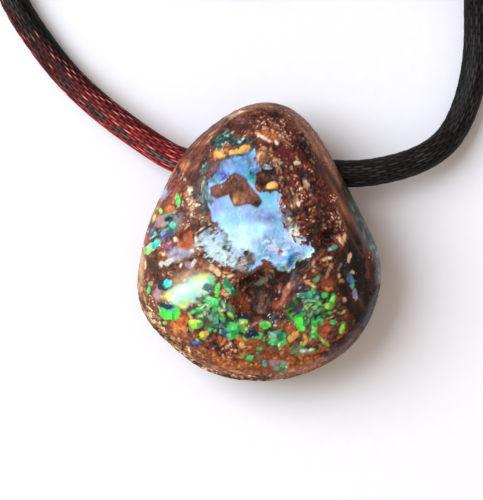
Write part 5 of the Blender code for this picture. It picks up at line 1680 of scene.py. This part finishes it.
class OPAL_OT_stone(bpy.types.Operator):
    """Shape the polished stone, drill it, and lay every mark on it."""

    bl_idname = "boulder_opal.stone"
    bl_label = "Polished stone"

    def execute(self, context):
        settings = context.scene.opal_stone
        stone = new_mesh_object("polished_stone", stone_mesh(settings.face_steps))
        drill(stone)
        mesh = stone.data
        mesh.name = "polished_stone"
        flat = np.zeros(len(mesh.vertices) * 3, dtype=np.float32)
        mesh.vertices.foreach_get("co", flat)
        paint = StonePaint(flat.reshape(-1, 3).astype(float) / MM, settings.matrix_colour)
        paint.zones(ZONES)
        paint.weather()
        paint.rims()
        paint.crumbs(CRUMBS)
        paint.side_vein()
        paint.chips(CHIPS)
        # the milky facet: opal, with its whites partly a painted highlight
        paint.vein(MILKY_HIGHLIGHT_OUTLINE, MILKY_HIGHLIGHT_GROUND, MILKY_HIGHLIGHT_TINTS, 0.1, MILKY_HIGHLIGHT_SOFTNESS)
        paint.vein(OPAL_OUTLINE, OPAL_GROUND, OPAL_TINTS, 0.2)
        paint.frost(FROSTED)
        paint.island(ISLAND_OUTLINE)
        paint.crowds(FLAKE_CROWDS, seed=3)
        paint.flashes(FLASHES)
        paint.glints()
        paint.side(seed=7)
        paint.bore()
        roughen(mesh, paint)
        store(mesh, "paint", np.clip(paint.colour, 0.0, 1.0))
        for name in ("sugar", "opal", "fire"):
            store(mesh, name, getattr(paint, name))
        mesh.materials.clear()
        mesh.materials.append(stone_material(settings))
        mesh.shade_smooth()
        mesh.set_sharp_from_angle(angle=math.radians(60))
        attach(stone, "root")
        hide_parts("boulder_opal")
        return {"FINISHED"}


# ---------------- the stage
FLOOR_HALF = 1.2  # metres
FLOOR_LEVEL = -0.00002
KEY_PLACE, KEY_SIZE = (-0.27, 0.11, 0.36), (0.30, 0.36)  # metres: width, then height
ROOM_OVERHEAD = 0.62  # how bright it is straight above the stone
ROOM_WINDOW_SIDE, ROOM_FAR_SIDE = 1.0, 0.22  # and low down, on the window's side and opposite
PAPER_ROUGHNESS, PAPER_SPECULAR = 0.9, 0.2
PAPER_TOOTH = 900.0  # bumps in a metre


def soft_light(name, place, size, power):
    """A tall area light that faces the stone."""
    lamp = bpy.data.lights.new(name, "AREA")
    lamp.shape = "RECTANGLE"
    lamp.size, lamp.size_y = size
    lamp.energy = power
    lamp.color = linear("#E8F4FF")
    light = bpy.data.objects.new(name, lamp)
    light.location = place
    light.rotation_euler = (-Vector(place)).to_track_quat("-Z", "Y").to_euler()
    bpy.context.scene.collection.objects.link(light)


def floor_material(colour):
    """Smooth drawing paper, off-white with the faintest tooth."""
    paper, nodes, shader = new_material("smooth white drawing paper")
    tooth = nodes.noise(nodes.place(), PAPER_TOOTH)
    feed(shader, {"Base Color": nodes.tint(tooth, colour, 0.96 * hue(colour)),
                  "Roughness": PAPER_ROUGHNESS, "Specular IOR Level": PAPER_SPECULAR})
    return paper


def room(strength):
    """Soft light from all round: warm and bright from the window's side, dim from the other."""
    world = bpy.data.worlds.new("pale room")
    world.use_nodes = True
    nodes = Nodes(world.node_tree)
    heading = nodes.add("ShaderNodeTexCoord").outputs["Generated"]
    side, _, rise = nodes.add("ShaderNodeSeparateXYZ", {0: heading}).outputs
    wall = nodes.ramp(side, -0.9, 0.7, ROOM_WINDOW_SIDE, ROOM_FAR_SIDE,
                      interpolation_type="SMOOTHSTEP")
    height = nodes.ramp(rise, 0.15, 0.95, interpolation_type="SMOOTHSTEP")
    level = nodes.level(height, wall, ROOM_OVERHEAD)
    feed(world.node_tree.nodes["Background"], {
        "Color": opaque("#FFEEDC"), "Strength": nodes.times(level, strength)})
    return world


class OPAL_OT_stage(bpy.types.Operator):
    """Lay the paper and hang the soft lights."""

    bl_idname = "boulder_opal.stage"
    bl_label = "Paper and light"

    def execute(self, context):
        settings = context.scene.opal_stage
        mesh = bpy.data.meshes.new("floor")
        corners = [(x * FLOOR_HALF, y * FLOOR_HALF, FLOOR_LEVEL)
                   for x, y in ((-1, -1), (1, -1), (1, 1), (-1, 1))]
        mesh.from_pydata(corners, [], [(0, 1, 2, 3)])
        mesh.materials.append(floor_material(settings.floor_colour))
        floor = new_mesh_object("floor", mesh)
        soft_light("window light", KEY_PLACE, KEY_SIZE, settings.key_power)
        context.scene.world = room(settings.sky)
        context.scene.view_settings.view_transform = "Standard"
        return {"FINISHED"}


# ---------------- the add-on
class OPAL_PT_panel(bpy.types.Panel):
    """The pendant's settings and its makers."""

    bl_idname = "OPAL_PT_panel"
    bl_label = "Boulder opal pendant"
    bl_space_type = "VIEW_3D"
    bl_region_type = "UI"
    bl_category = "Boulder opal"

    def draw(self, context):
        for group in SETTINGS:
            settings = getattr(context.scene, group)
            for name in settings.__annotations__:
                self.layout.prop(settings, name)
        for operator in OPERATORS:
            self.layout.operator(operator.bl_idname)


SETTINGS = {"opal_stone": StoneSettings, "opal_cord": CordSettings, "opal_stage": StageSettings}
OPERATORS = (OPAL_OT_camera, OPAL_OT_cord, OPAL_OT_knot, OPAL_OT_tie, OPAL_OT_stone,
             OPAL_OT_stage)
CLASSES = (*SETTINGS.values(), *OPERATORS, OPAL_PT_panel)


def register():
    """Register the classes and hang the settings on the scene."""
    for entry in CLASSES:
        bpy.utils.register_class(entry)
    for name, group in SETTINGS.items():
        setattr(bpy.types.Scene, name, bpy.props.PointerProperty(type=group))


def unregister():
    """Take the settings and the classes away again."""
    for name in SETTINGS:
        delattr(bpy.types.Scene, name)
    for entry in reversed(CLASSES):
        bpy.utils.unregister_class(entry)


def main():
    """Make the camera, the pieces and the stage in order."""
    register()
    bpy.ops.boulder_opal.camera()
    bpy.ops.boulder_opal.cord()
    bpy.ops.boulder_opal.knot()
    bpy.ops.boulder_opal.tie()
    bpy.ops.boulder_opal.stone()
    bpy.ops.boulder_opal.stage()


if __name__ == "__main__":
    main()
